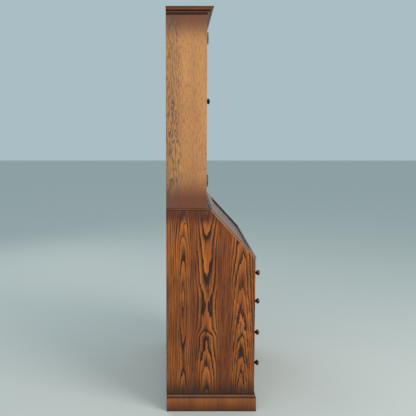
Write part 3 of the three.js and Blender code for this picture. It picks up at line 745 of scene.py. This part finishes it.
def bronze_finish(name, patina, rubbed_and_lit, tip):
    """Dark patinated bronze, with copper showing on the round of a knob whose tip is at a given y."""
    finish = Finish(name)
    blotch = finish.noise(finish.place, 160.0, 4.0, 0.6)
    speck = finish.noise(finish.place, 900.0, 2.0)
    handled = 1 - (finish.y - tip).between(0.010, 0.017)
    worn = blotch.between(0.42, 0.66) * handled * 0.75 + speck.between(0.6, 0.85) * 0.10
    colour = finish.blend(worn.least(1.0), patina, rubbed_and_lit)
    roughness = 0.40 - worn * 0.14 + speck * 0.08
    return finish.finished(colour, roughness, speck + blotch, 0.06 * MM, Metallic=0.85)


def brass_finish(name, rubbed_and_lit, tarnish):
    """Aged brass, tarnished in patches and finely scratched."""
    finish = Finish(name)
    blotch = finish.noise(finish.place, 90.0, 4.0, 0.6)
    scratch = finish.noise(finish.vector(finish.x * 300.0, finish.y * 300.0, finish.z * 2400.0), 1.0, 2.0)
    colour = finish.blend(blotch.between(0.35, 0.62), tarnish, rubbed_and_lit)
    roughness = 0.46 - blotch * 0.2 + scratch * 0.1
    return finish.finished(colour, roughness, scratch + blotch, 0.03 * MM, Metallic=0.95)


def glass_finish(name, tint):
    """Old drawn glass: clear, very slightly wavy, with faint dust."""
    finish = Finish(name)
    wave = finish.noise(finish.vector(finish.x * 6.0, finish.y, finish.z * 3.0), 1.5, 2.0)
    dust = finish.noise(finish.place, 45.0, 4.0).between(0.5, 0.8)
    colour = finish.blend(dust * 0.12, tint, tone(206, 208, 200))
    roughness = dust * 0.05 + 0.02
    return finish.finished(colour, roughness, wave, 0.8 * MM, Transmission_Weight=1.0, IOR=1.46)


def floor_finish(name, shade):
    """A pale matt studio floor."""
    finish = Finish(name)
    mottle = finish.noise(finish.place, 3.0, 4.0)
    colour = finish.blend(mottle * 0.08, shade, tone(196, 196, 192))
    return finish.finished(colour, mottle * 0.05 + 0.62)


FINISHES = {}


def made_once(name, maker, *values, **options):
    """A finish by name, made the first time it is asked for."""
    if name not in FINISHES:
        FINISHES[name] = maker(name, *values, **options)
    return FINISHES[name]


def palette(prefix):
    """The light, middle and line colours of one kind of oak."""
    colours = bpy.context.scene.desk_finishes
    return [tuple(getattr(colours, f"{prefix}_{part}")) for part in ("light", "mid", "line")]


def bronze(name, front, worn=True):
    """The bronze of the knobs whose tips are at the front of a CAD node."""
    colours = bpy.context.scene.desk_finishes
    rubbed_and_lit = colours.copper if worn else colours.bronze
    return made_once(name, bronze_finish, tuple(colours.bronze), tuple(rubbed_and_lit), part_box(front)[0].y)


def brass():
    """The aged brass of the hinges and the key plate."""
    colours = bpy.context.scene.desk_finishes
    return made_once("hinge_brass", brass_finish, tuple(colours.brass), tuple(colours.brass_tarnish))


def oak(run, kind="oak", pith=(0.02, 0.31), label="", **options):
    """An oak finish by the way its grain runs."""
    name = f"{kind}_along_{run.lower()}{label}"
    return made_once(name, oak_finish, run, palette(kind), pith, **options)


# ---------- Base ----------


def back_boards(node, arris=0.9 * MM):
    """A CAD back as upright boards, with a small V where each two meet."""
    name = f"{node}_boards"
    count = bpy.context.scene.desk_sizes.back_boards
    low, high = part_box(node)
    width = (high.x - low.x) / count
    first = flattened(stacked(name, board_rings(low, (low.x + width, high.y, high.z), arris)))
    first = rounded(first, arris * 0.5)
    shifts = [(width * index, 0, 0) for index in range(1, count)]
    boards = [first] + [duplicated(first, f"{name}_{index}", shift) for index, shift in enumerate(shifts, 1)]
    finish = oak("Z", kind="lining", pith=(0.05, 0.33), label="_back", pitch=6 * MM)
    return dressed(united(boards, name), body_of(node), finish, [node])


class DESK_OT_base(bpy.types.Operator):
    """Makes the base's sides, rails, dust boards, dividers, writing bed and back"""

    bl_idname = "desk.base"
    bl_label = "Base"

    def execute(self, context):
        sizes = context.scene.desk_sizes
        side = made_once("base_side_oak", base_side_finish, palette("side"))
        for name in SIDES:
            eased_board(f"base_side_{name}", sizes.arris, side)
            eased_board(f"loper_divider_{name}", sizes.fine_arris, oak("Z", pith=(0.42, 0.3)))
        for node in ("bottom_rail", "base_bottom", "dust_board_1", "dust_board_2", "dust_board_3"):
            eased_board(node, sizes.fine_arris, oak("X"))
        eased_board("writing_bed", sizes.fine_arris, oak("X", pith=(0.02, 0.71), label="_bed"))
        back_boards("base_back")
        return {"FINISHED"}


def mitred(piece, node, front, returns):
    """Finishes a moulding that stands for a CAD node: one grain along its front, one on its two returns."""
    dressed(piece, body_of(node), [front, returns], [node])
    slot_faces(piece, 1, lambda middle: abs(middle.x) > CARCASS_HALF - 0.5 * MM)


class DESK_OT_plinth(bpy.types.Operator):
    """Makes the plinth, with a cove moulding along its top"""

    bl_idname = "desk.plinth"
    bl_label = "Plinth"

    def execute(self, context):
        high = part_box("plinth")[1]
        out = (high.x - CARCASS_HALF) / MM
        profile = in_metres([
            (out - 0.4, 0), (out, 0.6), (out, 65.4), (out - 0.5, 66.4), (out - 1.3, 66.8), (out - 1.5, 68.6),
            (out - 1.0, 69.8), (out - 1.0, 72.2), (out - 1.7, 73.6), (out - 3.2, 74.4),
            *arc((7.2, 82.5), 5.0, 250, 180, 6)[1:], (2.2, 83.4), (3.3, 84.0), (3.6, 85.3), (3.1, 86.5),
            (1.9, high.z / MM),
        ])
        block = stacked("plinth_moulding", three_sided(profile, CARCASS_HALF, BASE_FRONT_Y))
        inside = (-CARCASS_HALF, CARCASS_HALF, BASE_FRONT_Y, BACK_Y + 10 * MM)
        hollow = stacked("plinth_hollow", [(inside, -10 * MM), (inside, high.z + 10 * MM)])
        carved(block, [hollow])
        flattened(block, 40)
        shared = {"kind": "side", "label": "_plinth", "pitch": 7 * MM, "patina": self.patina}
        front = oak("X", pith=(-0.2, 0.10), **shared)
        returns = oak("Z", pith=(-0.45, 0.10), contrast=0.45, **shared)
        mitred(block, "plinth", front, returns)
        return {"FINISHED"}

    def patina(self, finish, colour):
        """Darker towards the floor, with painted shade along the moulding and a thin pale painted highlight
        in its cove.
        """
        lower = 1 - finish.z.between(0.005, 0.064)
        # Painted shade at the top of the moulding, in its cove, under its step and along the floor.
        painted_shade = bands(
            finish, (0.0880, 0.0060, 0.96), (0.0802, 0.0120, 0.45), (0.0712, 0.0058, 0.96), (0.0, 0.008, 0.8),
        )
        # A painted highlight: a thin pale line in the cove.
        rubbed_and_lit = bands(finish, (0.0802, 0.0040, 0.30))
        shade = (lower * 0.50 + 0.26, tone(62, 28, 14))
        return finish.layered(colour, shade, (painted_shade, tone(28, 18, 13)), (rubbed_and_lit, tone(112, 104, 72)))


class DESK_OT_base_top(bpy.types.Operator):
    """Makes the board that closes the base, with a round nose over a quirk"""

    bl_idname = "desk.base_top"
    bl_label = "Base top"

    def execute(self, context):
        low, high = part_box("base_top")
        out = high.x - CARCASS_HALF
        radius = 4.3 * MM
        nose = arc((out - radius, high.z - radius), radius, -90, 90, 10)
        profile = [(-1.6 * MM, low.z), (-1.6 * MM, nose[0][1]), *nose]
        board = stacked("base_top_board", three_sided(profile, CARCASS_HALF, low.y + out))
        flattened(board, 40)
        finish = oak("X", kind="dark", pith=(0.1, 0.93), label="_top", patina=self.patina)
        dressed(board, body_of("base_top"), finish, ["base_top"])
        return {"FINISHED"}

    def patina(self, finish, colour):
        """Painted shade in the quirk and along the top of the nose, and a painted highlight along the round
        of the nose between them.
        """
        # Painted shade in the quirk and at the joint above the nose.
        painted_shade = bands(finish, (1.0145, 0.0034, 0.95), (1.0246, 0.0038, 0.95))
        # A painted highlight along the round of the nose.
        rubbed_and_lit = bands(finish, (1.0196, 0.0030, 0.35))
        return finish.layered(colour, (painted_shade, tone(28, 18, 13)), (rubbed_and_lit, tone(176, 98, 50)))


# ---------- Lid ----------


# The lid's sunk panel: its margins within the carcass's width and the lid's length.
LID_PANEL_HALF = CARCASS_HALF - 65 * MM
LID_PANEL_FOOT = 30 * MM
LID_PANEL_HEAD = 56 * MM
# The wall round the panel: millimetres inwards and up, from the frame's face to the panel.
LID_PANEL_EDGE = (
    (0, 0), (0.4, -0.1), (0.6, -0.5), (0.6, -5.6), (0.9, -6.0), (1.8, -6.2), (2.8, -6.8), (3.4, -7.8),
    (3.6, -9.0), (4.2, -9.5),
)


class DESK_OT_fall_lid(bpy.types.Operator):
    """Makes the sloping lid: a lipped frame with an ovolo round it, and a sunk panel"""

    bl_idname = "desk.fall_lid"
    bl_label = "Fall lid"

    def execute(self, context):
        axis = Vector(LID_HINGE["pos_m"])
        side = frame["nodes"]["base_side_left"].data
        slope = self.slope_angle(side)
        length, thick, lip_half, lip_foot = self.lid_sizes(axis, slope)
        lip = self.lip_rings(length, thick, lip_half, lip_foot)
        turn = (slope, 0, 0)
        face = settle(stacked("fall_lid_face", lip), axis, turn)
        flattened(face, 40)
        body_half = INNER_HALF - 0.7 * MM
        body_rings = board_rings((-body_half, 0, 0), (body_half, length, lip_foot), 0.5 * MM)
        body = stacked("fall_lid_body", body_rings)
        carved(body, self.hinge_notches())
        settle(body, axis, turn)
        flattened(body, 40)
        finish = oak(
            "X", kind="dark", pith=(-0.11, 0.86), label="_lid", wobble=14 * MM,
            gloss=0.20, coat=0.15, specular=0.16,
            patina=lambda finish, colour: self.patina(finish, colour, axis, slope, length, thick),
        )
        dressed(face, "lid", finish, ["fall_lid"])
        inside = oak("X", pith=(-0.05, 0.85), label="_lid_inside")
        dressed(body, "lid", inside)
        return {"FINISHED"}

    def patina(self, finish, colour, axis, slope, length, thick):
        """Painted shade in the corners round the sunk panel, a pale painted highlight on the ovolo, and
        painted light in red on the riser inside the lip.
        """
        up = (finish.y - axis.y) * math.cos(slope) + (finish.z - axis.z) * math.sin(slope)
        out = (finish.z - axis.z) * math.cos(slope) - (finish.y - axis.y) * math.sin(slope)
        side = abs(finish.x)
        sunk = thick - out
        margin = (LID_PANEL_HALF - side).least(up - LID_PANEL_FOOT).least(length - LID_PANEL_HEAD - up)
        # Painted shade along the walls and corners of the sunk panel.
        wall = sunk.between(0.5 * MM, 1.6 * MM) * margin.between(-1 * MM, 0.2 * MM)
        painted_shade = wall * (1 - margin.between(3 * MM, 11 * MM)) * 0.85
        # Painted light: the riser inside the lip, lit red-orange.
        riser = side.above(CARCASS_HALF - 6.6 * MM) * (1 - sunk.between(3.4 * MM, 4.2 * MM))
        rubbed_and_lit = riser * (1 - (CARCASS_HALF - 6.1 * MM - side).between(0.0, 0.9 * MM))
        # A pale painted highlight along the ovolo.
        ovolo = side.above(CARCASS_HALF - 5.7 * MM) * sunk.above(4.0 * MM)
        dust = (ovolo * 0.36, tone(160, 146, 120))
        return finish.layered(colour, (painted_shade, tone(26, 16, 12)), dust, (rubbed_and_lit * 0.6, tone(170, 78, 42)))

    def slope_angle(self, side):
        """The slope of the base side's upper edge."""
        corners = sorted({(round(v.co.y, 5), round(v.co.z, 5)) for v in side.vertices if v.co.z > 0.5})
        top = min(y for y, z in corners if z > 1.0)
        foot = next(z for y, z in corners if y < BASE_FRONT_Y + MM)
        return math.atan2(BASE_HEAD_Z - foot, top - BASE_FRONT_Y)

    def lid_sizes(self, axis, slope):
        """The lid's length, thickness, half width and the foot of its lip, in its own frame."""
        up = Vector((0, math.cos(slope), math.sin(slope)))
        out = Vector((0, -math.sin(slope), math.cos(slope)))
        places = [v.co - axis for v in frame["nodes"]["fall_lid"].data.vertices]
        length = max(place.dot(up) for place in places)
        thick = max(place.dot(out) for place in places)
        lip_half = max(place.x for place in places)
        lip_foot = min(place.dot(out) for place in places if abs(place.x) > lip_half - MM)
        return length, thick, lip_half, lip_foot

    def lip_rings(self, length, thick, half, foot):
        """The lip, its ovolo and riser, then the frame's face and its sunk panel, from the back outwards."""
        # How far up from the hinge the face starts, and how far inside the lip's edge its riser stands.
        start, corner = 6.8 * MM, -5.25 * MM
        ovolo_foot = thick - 8.3 * MM
        rings = [((-half, half, start, length), foot), ((-half, half, start, length), ovolo_foot - 0.4 * MM)]
        ovolo = arc((corner, ovolo_foot), 4.5 * MM, 0, 90, 8)
        edge = [
            (-0.3 * MM, ovolo_foot), *ovolo, (corner, thick - 0.5 * MM),
            (corner - 0.15 * MM, thick - 0.15 * MM), (corner - 0.5 * MM, thick),
        ]
        rings += [((-half - p, half + p, start, length + p), z) for p, z in edge]
        for inwards, lift in LID_PANEL_EDGE:
            inset = inwards * MM
            rectangle = (
                -LID_PANEL_HALF + inset, LID_PANEL_HALF - inset,
                LID_PANEL_FOOT + inset, length - LID_PANEL_HEAD - inset,
            )
            rings.append((rectangle, thick + lift * MM))
        return rings

    def hinge_notches(self):
        """Cutters for the two hinges' leaves and barrels, in the lid's own frame."""
        gap, barrel_reach, leaf_reach, leaf_depth = 0.3 * MM, 3.3 * MM, 23.3 * MM, 1.8 * MM
        cutters = []
        for name in SIDES:
            low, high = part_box(f"lid_hinge_{name}_bed_leaf")
            barrel = (low.x - gap, high.x + gap, -MM, barrel_reach)
            leaf = (low.x - gap, high.x + gap, -MM, leaf_reach)
            cutters.append(stacked(f"barrel_{name}", [(barrel, -MM), (barrel, barrel_reach)]))
            cutters.append(stacked(f"leaf_{name}", [(leaf, -MM), (leaf, leaf_depth)]))
        return cutters


# ---------- Drawers, lopers and pigeonholes ----------


def beaded_front(name, low, high, bead, rise):
    """A drawer front with a round bead along its edges, standing above its face."""
    width, height, thick = high.x - low.x, high.z - low.z, high.y - low.y
    half = width / 2
    rings = [((-half, half, 0, height), 0), ((-half, half, 0, height), thick - 0.5 * rise)]
    for share, level in ((0.08, -0.25), (0.25, -0.06), (0.5, 0), (0.75, -0.06), (0.92, -0.25), (1, -0.5)):
        inset = share * bead
        rings.append(((-half + inset, half - inset, inset, height - inset), thick + level * rise))
    for extra, level in ((0.0, -1.35), (0.25, -1.35), (0.45, -1.0)):
        inset = bead * (1 + extra)
        rings.append(((-half + inset, half - inset, inset, height - inset), thick + level * rise))
    front = stacked(name, rings)
    return flattened(settle(front, ((low.x + high.x) / 2, high.y, low.z), (math.radians(90), 0, 0)), 40)


class DESK_OT_long_drawers(bpy.types.Operator):
    """Makes the four long drawers, with cockbeaded fronts"""

    bl_idname = "desk.long_drawers"
    bl_label = "Long drawers"

    def execute(self, context):
        sizes = context.scene.desk_sizes
        lining = oak("Y", kind="lining", pith=(0.1, 0.42), gloss=0.62, coat=0.0, contrast=0.5)
        for number in DRAWERS:
            node = f"drawer_{number}_front"
            low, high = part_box(node)
            middle = (low.z + high.z) / 2
            finish = oak(
                "X", pith=(BASE_FRONT_Y + 30 * MM, middle + (12 if number % 2 else -14) * MM),
                label=f"_drawer_{number}", wobble=(10 + 2 * number) * MM,
            )
            front = beaded_front(f"drawer_{number}_panel", low, high, sizes.cockbead, sizes.cockbead_rise)
            dressed(front, body_of(node), finish, [node])
            eased_board(f"drawer_{number}_box", sizes.fine_arris, lining)
        return {"FINISHED"}


class DESK_OT_lopers(bpy.types.Operator):
    """Makes the two lopers that carry the open lid, each with a finger hole in its end"""

    bl_idname = "desk.lopers"
    bl_label = "Lopers"

    def execute(self, context):
        sizes = context.scene.desk_sizes
        finish = oak("Y", pith=(-0.42, 0.60), label="_loper")
        for name in SIDES:
            node = f"loper_{name}"
            low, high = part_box(node)
            bar = rounded(stacked(f"{node}_bar", board_rings(low, high, sizes.arris)), 0.5 * MM, angle=60)
            middle = Vector(((low.x + high.x) / 2, low.y, (low.z + high.z) / 2))
            # A hole 15 mm wide and 12 mm deep, its rim countersunk.
            drill = turned("drill", in_metres([(8.6, -1), (7.5, 0.8), (7.5, 12)]), 32)
            carved(bar, [settle(drill, middle, (math.radians(-90), 0, 0))])
            flattened(bar, 40)
            dressed(bar, body_of(node), finish, [node])
        return {"FINISHED"}


# A knob's outline: (share of the radius, share of the length) from its seat to its tip.
KNOB_OUTLINE = (
    (0.80, 0.0), (0.80, 0.03), (0.74, 0.065), (0.56, 0.10), (0.44, 0.17), (0.38, 0.28), (0.37, 0.36),
    (0.42, 0.425), (0.53, 0.44), (0.56, 0.465), (0.52, 0.49), (0.46, 0.505), (0.60, 0.545), (0.82, 0.60),
    (0.95, 0.665), (1.0, 0.735), (0.985, 0.80), (0.90, 0.87), (0.74, 0.925), (0.54, 0.962), (0.30, 0.988),
    (0.09, 1.0),
)


def pulled(name, foot, diameter, length, segments, sunk=0.0):
    """A turned knob that faces forwards from its foot, its seat sunk into the front by a little."""
    outline = [(radius * diameter / 2, height * length) for radius, height in KNOB_OUTLINE]
    outline[0] = (outline[0][0], -sunk)
    knob = turned(name, outline, segments)
    return settle(knob, foot, (math.radians(90), 0, 0))


class DESK_OT_knobs(bpy.types.Operator):
    """Makes the turned bronze knobs of the drawers and the door"""

    bl_idname = "desk.knobs"
    bl_label = "Knobs"

    def execute(self, context):
        sizes = context.scene.desk_sizes
        nodes = [f"drawer_{number}_knob_{name}" for number in DRAWERS for name in SIDES]
        foot, diameter, length = self.seat(nodes[0])
        first = pulled(f"{nodes[0]}_turned", foot, diameter, length, sizes.knob_segments, sizes.cockbead_rise)
        knobs = [first]
        knobs += [duplicated(first, f"{node}_turned", self.seat(node)[0] - foot) for node in nodes[1:]]
        metal = bronze("knob_bronze", nodes[0])
        for knob, node in zip(knobs, nodes):
            dressed(knob, body_of(node), metal, [node])
        door_knob = pulled("door_knob_turned", *self.seat("door_knob"), sizes.knob_segments)
        metal = bronze("door_knob_bronze", "door_knob", worn=False)
        dressed(door_knob, body_of("door_knob"), metal, ["door_knob"])
        return {"FINISHED"}

    def seat(self, node):
        """The middle of a CAD knob's back, with its diameter and its length."""
        low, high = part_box(node)
        return Vector(((low.x + high.x) / 2, high.y, (low.z + high.z) / 2)), high.x - low.x, high.y - low.y


class DESK_OT_pigeonholes(bpy.types.Operator):
    """Makes the pigeonholes and the two small drawers behind the lid"""

    bl_idname = "desk.pigeonholes"
    bl_label = "Pigeonholes"

    def execute(self, context):
        sizes = context.scene.desk_sizes
        eased_board("pigeonhole_unit", sizes.fine_arris, oak("X", pith=(0.16, 0.80), label="_inner"))
        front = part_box("pigeonhole_unit")[0].y
        wood = oak("X", pith=(0.06, 0.79), label="_inner_front", pitch=5 * MM)
        metal = bronze("small_knob_bronze", "small_drawer_left")
        for name in SIDES:
            node = f"small_drawer_{name}"
            piece = rounded(copied(f"{node}_glued", node), 0.25 * MM, angle=50)
            dressed(piece, body_of(node), [wood, metal], [node])
            slot_faces(piece, 1, lambda middle: middle.y < front - 0.1 * MM)
        return {"FINISHED"}


# ---------- Bookcase ----------


class DESK_OT_bookcase(bpy.types.Operator):
    """Makes the bookcase's sides, boards, shelves and back"""

    bl_idname = "desk.bookcase"
    bl_label = "Bookcase"

    def execute(self, context):
        sizes = context.scene.desk_sizes
        faded = made_once("bookcase_side_oak", bookcase_side_finish, palette("faded"))
        for name in SIDES:
            eased_board(f"bookcase_side_{name}", sizes.arris, faded)
        for node in ("bookcase_top", "bookcase_bottom", "shelf_1", "shelf_2"):
            eased_board(node, sizes.arris, oak("X", pith=(0.15, 1.45), label="_shelf"))
        back_boards("bookcase_back")
        return {"FINISHED"}


class DESK_OT_cornice(bpy.types.Operator):
    """Makes the stepped cornice, with a bead under it"""

    bl_idname = "desk.cornice"
    bl_label = "Cornice"

    def execute(self, context):
        low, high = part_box("cornice")
        top, out = high.z / MM, (high.x - CARCASS_HALF) / MM
        bead = arc((0.4, -34), 1.6, -90, 90, 8)
        cove = arc((7.5, -31.2), 5, 180, 100, 6)
        # Each point is its reach past the carcass and its height below the top.
        profile = [
            (0.2, -36), *bead, (1.4, -32.2), (2.2, -31.6), *cove, (9, -26.1), (10.5, -25.6), (12.2, -24.8),
            (13, -23.2), (13, -21), (14, -20), (18.5, -18.8), (20, -17.6), (20, -15), (22, -14), (23.2, -12),
            (23.8, -10), (24.6, -8.2), (26.2, -6.8), (27.8, -5.8), (28, -4.6), (out, -4.4), (out, -0.8),
            (out - 0.8, 0),
        ]
        profile = in_metres([(reach, top + up) for reach, up in profile])
        block = stacked("cornice_moulding", three_sided(profile, CARCASS_HALF, BOOKCASE_FRONT_Y))
        inner = (-INNER_HALF, INNER_HALF, BOOKCASE_FRONT_Y + 18 * MM, BACK_Y - 8 * MM)
        hollow = stacked("cornice_hollow", [(inner, high.z - 50 * MM), (inner, high.z - 10 * MM)])
        under = (-CARCASS_HALF, CARCASS_HALF, BOOKCASE_FRONT_Y, BACK_Y + 10 * MM)
        bead_seat = stacked("cornice_seat", [(under, high.z - 50 * MM), (under, low.z)])
        carved(block, [hollow, bead_seat])
        flattened(block, 35)
        shared = {"kind": "dark", "label": "_cornice", "pitch": 6 * MM, "patina": self.patina}
        front = oak("X", pith=(0.0, 1.90), **shared)
        returns = oak("Y", pith=(-0.40, 1.90), **shared)
        mitred(block, "cornice", front, returns)
        return {"FINISHED"}

    def patina(self, finish, colour):
        """Darker overall, with painted shade under each step and painted light on its fillets."""
        # Painted shade under each step and by the bead.
        painted_shade = bands(finish, (1.9625, 0.0044, 0.95), (1.9503, 0.0038, 0.95), (1.9450, 0.0012, 0.8))
        # Painted light on the fascia and on the second member.
        rubbed_and_lit = bands(finish, (1.9715, 0.0045, 0.35), (1.9563, 0.0030, 0.35))
        # Darker overall, then the painted shade and the painted light.
        return finish.layered(
            colour, (0.40, tone(46, 20, 8)), (painted_shade, tone(20, 13, 10)), (rubbed_and_lit, tone(176, 92, 34)),
        )


# The doors' glazing: how far the glass runs under the wood, and the width of a bar.
REBATE = 6.7 * MM
BAR = 12 * MM


class DESK_OT_glazed_doors(bpy.types.Operator):
    """Makes the glazed doors: stiles, rails and bars with an ovolo round each pane"""

    bl_idname = "desk.glazed_doors"
    bl_label = "Glazed doors"

    def execute(self, context):
        sizes = context.scene.desk_sizes
        colours = context.scene.desk_finishes
        glass = made_once("door_glass", glass_finish, tuple(colours.glass))
        stile = oak("Z", pith=(-0.2, BOOKCASE_FRONT_Y + 20 * MM), label="_stile", pitch=6 * MM)
        rail = oak("X", pith=(BOOKCASE_FRONT_Y + 20 * MM, 1.5), label="_rail", pitch=6 * MM)
        for name in SIDES:
            node = f"door_{name}_frame"
            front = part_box(node)[0].y
            glass_low, glass_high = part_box(f"door_{name}_glass")
            inner = (glass_low.x + REBATE, glass_high.x - REBATE)
            middle = (inner[0] + inner[1]) / 2
            pane_levels = (glass_low.z + REBATE, glass_high.z - REBATE)
            door = copied(f"door_{name}_joinery", node)
            begin_edit(door)
            for x in (*inner, middle - BAR / 2, middle + BAR / 2):
                bpy.ops.mesh.select_all(action="SELECT")
                bpy.ops.mesh.bisect(plane_co=(x, 0, 0), plane_no=(1, 0, 0))
            choose_edges(door, lambda a, b: self.round_pane(a, b, front, inner, pane_levels, middle))
            bpy.ops.mesh.bevel(offset=sizes.glazing_ovolo, segments=4, profile=0.5, clamp_overlap=False)
            end_edit()
            flattened(door, 40)
            dressed(door, body_of(node), [rail, stile], [node])
            slot_faces(door, 1, lambda place: self.in_upright(place, inner, pane_levels, middle))
            pane = frame["nodes"][f"door_{name}_glass"]
            pane.data.materials.clear()
            pane.data.materials.append(glass)
        return {"FINISHED"}

    def round_pane(self, a, b, front, inner, levels, middle):
        """Whether an edge lies on the door's front, round a pane."""
        if abs(a.y - front) > 0.01 * MM or abs(b.y - front) > 0.01 * MM:
            return False
        slack = 0.02 * MM
        uprights = (*inner, middle - BAR / 2, middle + BAR / 2)
        inside = all(levels[0] - slack <= end.z <= levels[1] + slack for end in (a, b))
        inside = inside and all(inner[0] - slack <= end.x <= inner[1] + slack for end in (a, b))
        if not inside:
            return False
        if abs(a.x - b.x) < slack:
            crosses_bar = abs(a.z - b.z) < BAR + 0.1 * MM
            return any(abs(a.x - x) < slack for x in uprights) and not crosses_bar
        return abs(a.z - b.z) < slack and abs((a.x + b.x) / 2 - middle) >= BAR / 2 - 0.1 * MM

    def in_upright(self, place, inner, levels, middle):
        """Whether a face belongs to a stile or to the upright bar."""
        if place.x < inner[0] - 0.1 * MM or place.x > inner[1] + 0.1 * MM:
            return True
        return abs(place.x - middle) < BAR / 2 + 0.5 * MM and levels[0] < place.z < levels[1]


class DESK_OT_hinges(bpy.types.Operator):
    """Makes the brass hinges of the doors and the lid"""

    bl_idname = "desk.hinges"
    bl_label = "Hinges"

    def execute(self, context):
        for node in sorted(name for name in frame["nodes"] if "hinge" in name):
            leaf = copied(f"{node}_brass", node)
            bpy.ops.object.shade_smooth_by_angle(angle=math.radians(35))
            dressed(leaf, body_of(node), brass(), [node])
        return {"FINISHED"}


def key_plate(name, place, turn, width, height):
    """An oval key plate with a keyhole, its back on the origin and facing +Z before it is turned."""
    edge = width / 2
    outline = [(edge, -0.3 * MM), (edge, 0.3 * MM), (edge * 0.96, 0.7 * MM), (edge * 0.88, 0.9 * MM)]
    outline += [(edge * 0.80, 0.75 * MM), (edge * 0.3, 0.75 * MM)]
    plate = turned(name, outline, 40)
    begin_edit(plate)
    bpy.ops.transform.resize(value=(1, height / width, 1), center_override=(0, 0, 0))
    end_edit()
    eye = turned("eye", [(1.9 * MM, -MM), (1.9 * MM, 2 * MM)], 20)
    eye = settle(eye, (0, 1.4 * MM, 0))
    slit = (-0.9 * MM, 0.9 * MM, -5 * MM, 1.4 * MM)
    slot = stacked("slit", [(slit, -MM), (slit, 2 * MM)])
    carved(plate, [eye, slot])
    return flattened(settle(plate, place, turn), 38)


class DESK_OT_key_plate(bpy.types.Operator):
    """Makes the key plate of the right door, below its knob"""

    bl_idname = "desk.key_plate"
    bl_label = "Key plate"

    def execute(self, context):
        knob_low, knob_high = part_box("door_knob")
        place = ((knob_low.x + knob_high.x) / 2, BOOKCASE_FRONT_Y, knob_low.z - 50 * MM)
        plate = key_plate("door_key_plate", place, (math.radians(90), 0, 0), 14 * MM, 24 * MM)
        dressed(plate, body_of("door_right_frame"), brass())
        return {"FINISHED"}


# ---------- Stage ----------


# The soft lights: place, width, property that holds the power, and colour. All aim at the desk's middle.
LIGHTS = {
    "key_light": ((-2.4, -2.6, 3.0), 2.2, "key_power", (1.0, 0.94, 0.86)),
    "fill_light": ((-3.6, 1.6, 2.2), 2.4, "fill_power", (0.94, 0.97, 1.0)),
    "back_light": ((2.8, 2.2, 2.6), 2.0, "fill_power", (1.0, 0.98, 0.95)),
}
LIGHTS_AIM = Vector((0, 0, 1.0))
FLOOR_WIDTH = 40

# The camera looks along +X at the left side, from a little above.
CAMERA_PLACE = (-3.185, 0.16925, 1.4248)
CAMERA_TURN = (math.radians(85), 0, math.radians(-90))
CAMERA_LENS = {"sensor_width": 36, "lens": 49.12, "shift_x": 0.0661, "shift_y": -0.0789}


def area_light(name, place, width, power, colour):
    """A square soft light at a place, aimed at the middle of the desk."""
    bpy.ops.object.select_all(action="DESELECT")
    bpy.ops.object.light_add(type="AREA", location=place)
    light = bpy.context.object
    light.name = name
    light.data.size = width
    light.data.energy = power
    light.data.color = colour
    light.rotation_euler = (LIGHTS_AIM - Vector(place)).to_track_quat("-Z", "Y").to_euler()


class DESK_OT_stage(bpy.types.Operator):
    """Sets the pale floor, the soft light and the camera"""

    bl_idname = "desk.stage"
    bl_label = "Stage"

    def execute(self, context):
        stage = context.scene.desk_stage
        bpy.ops.object.select_all(action="DESELECT")
        bpy.ops.mesh.primitive_plane_add(size=FLOOR_WIDTH, location=(0, 0, 0))
        floor = context.object
        floor.name = "studio_floor"
        floor.data.materials.append(floor_finish("studio_floor", tuple(stage.floor)))
        world = bpy.data.worlds.new("studio")
        context.scene.world = world
        world.use_nodes = True
        surround = world.node_tree.nodes["Background"]
        surround.inputs["Color"].default_value = (*stage.surround, 1)
        surround.inputs["Strength"].default_value = 1.0
        for name, (place, width, power, colour) in LIGHTS.items():
            area_light(name, place, width, getattr(stage, power), colour)
        context.scene.view_settings.view_transform = "Standard"
        bpy.ops.object.camera_add(location=CAMERA_PLACE, rotation=CAMERA_TURN)
        camera = context.object
        camera.name = "side_camera"
        for setting, value in CAMERA_LENS.items():
            setattr(camera.data, setting, value)
        context.scene.camera = camera
        return {"FINISHED"}


# ---------- Add-on ----------

OPERATORS = (
    DESK_OT_base,
    DESK_OT_plinth,
    DESK_OT_base_top,
    DESK_OT_fall_lid,
    DESK_OT_long_drawers,
    DESK_OT_lopers,
    DESK_OT_pigeonholes,
    DESK_OT_bookcase,
    DESK_OT_cornice,
    DESK_OT_glazed_doors,
    DESK_OT_knobs,
    DESK_OT_hinges,
    DESK_OT_key_plate,
    DESK_OT_stage,
)


class DESK_PT_panel(bpy.types.Panel):
    """Lists the desk's sizes, finishes and operators in the 3D view's sidebar"""

    bl_idname = "DESK_PT_panel"
    bl_label = "Oak bureau bookcase"
    bl_space_type = "VIEW_3D"
    bl_region_type = "UI"
    bl_category = "Desk"

    def draw(self, context):
        for group in (context.scene.desk_sizes, context.scene.desk_finishes, context.scene.desk_stage):
            box = self.layout.box()
            for name in group.__annotations__:
                box.prop(group, name)
        for operator in OPERATORS:
            self.layout.operator(operator.bl_idname)


GROUPS = {"desk_sizes": DeskSizes, "desk_finishes": DeskFinishes, "desk_stage": DeskStage}


def register():
    """Adds the classes, and the settings they keep in the scene."""
    for kind in (*GROUPS.values(), *OPERATORS, DESK_PT_panel):
        bpy.utils.register_class(kind)
    for name, group in GROUPS.items():
        setattr(bpy.types.Scene, name, bpy.props.PointerProperty(type=group))


def unregister():
    """Removes what register added."""
    for name in GROUPS:
        delattr(bpy.types.Scene, name)
    for kind in reversed((*GROUPS.values(), *OPERATORS, DESK_PT_panel)):
        bpy.utils.unregister_class(kind)


def main():
    """Builds every piece and the stage."""
    register()
    for operator in OPERATORS:
        group, name = operator.bl_idname.split(".")
        getattr(getattr(bpy.ops, group), name)()


if __name__ == "__main__":
    main()
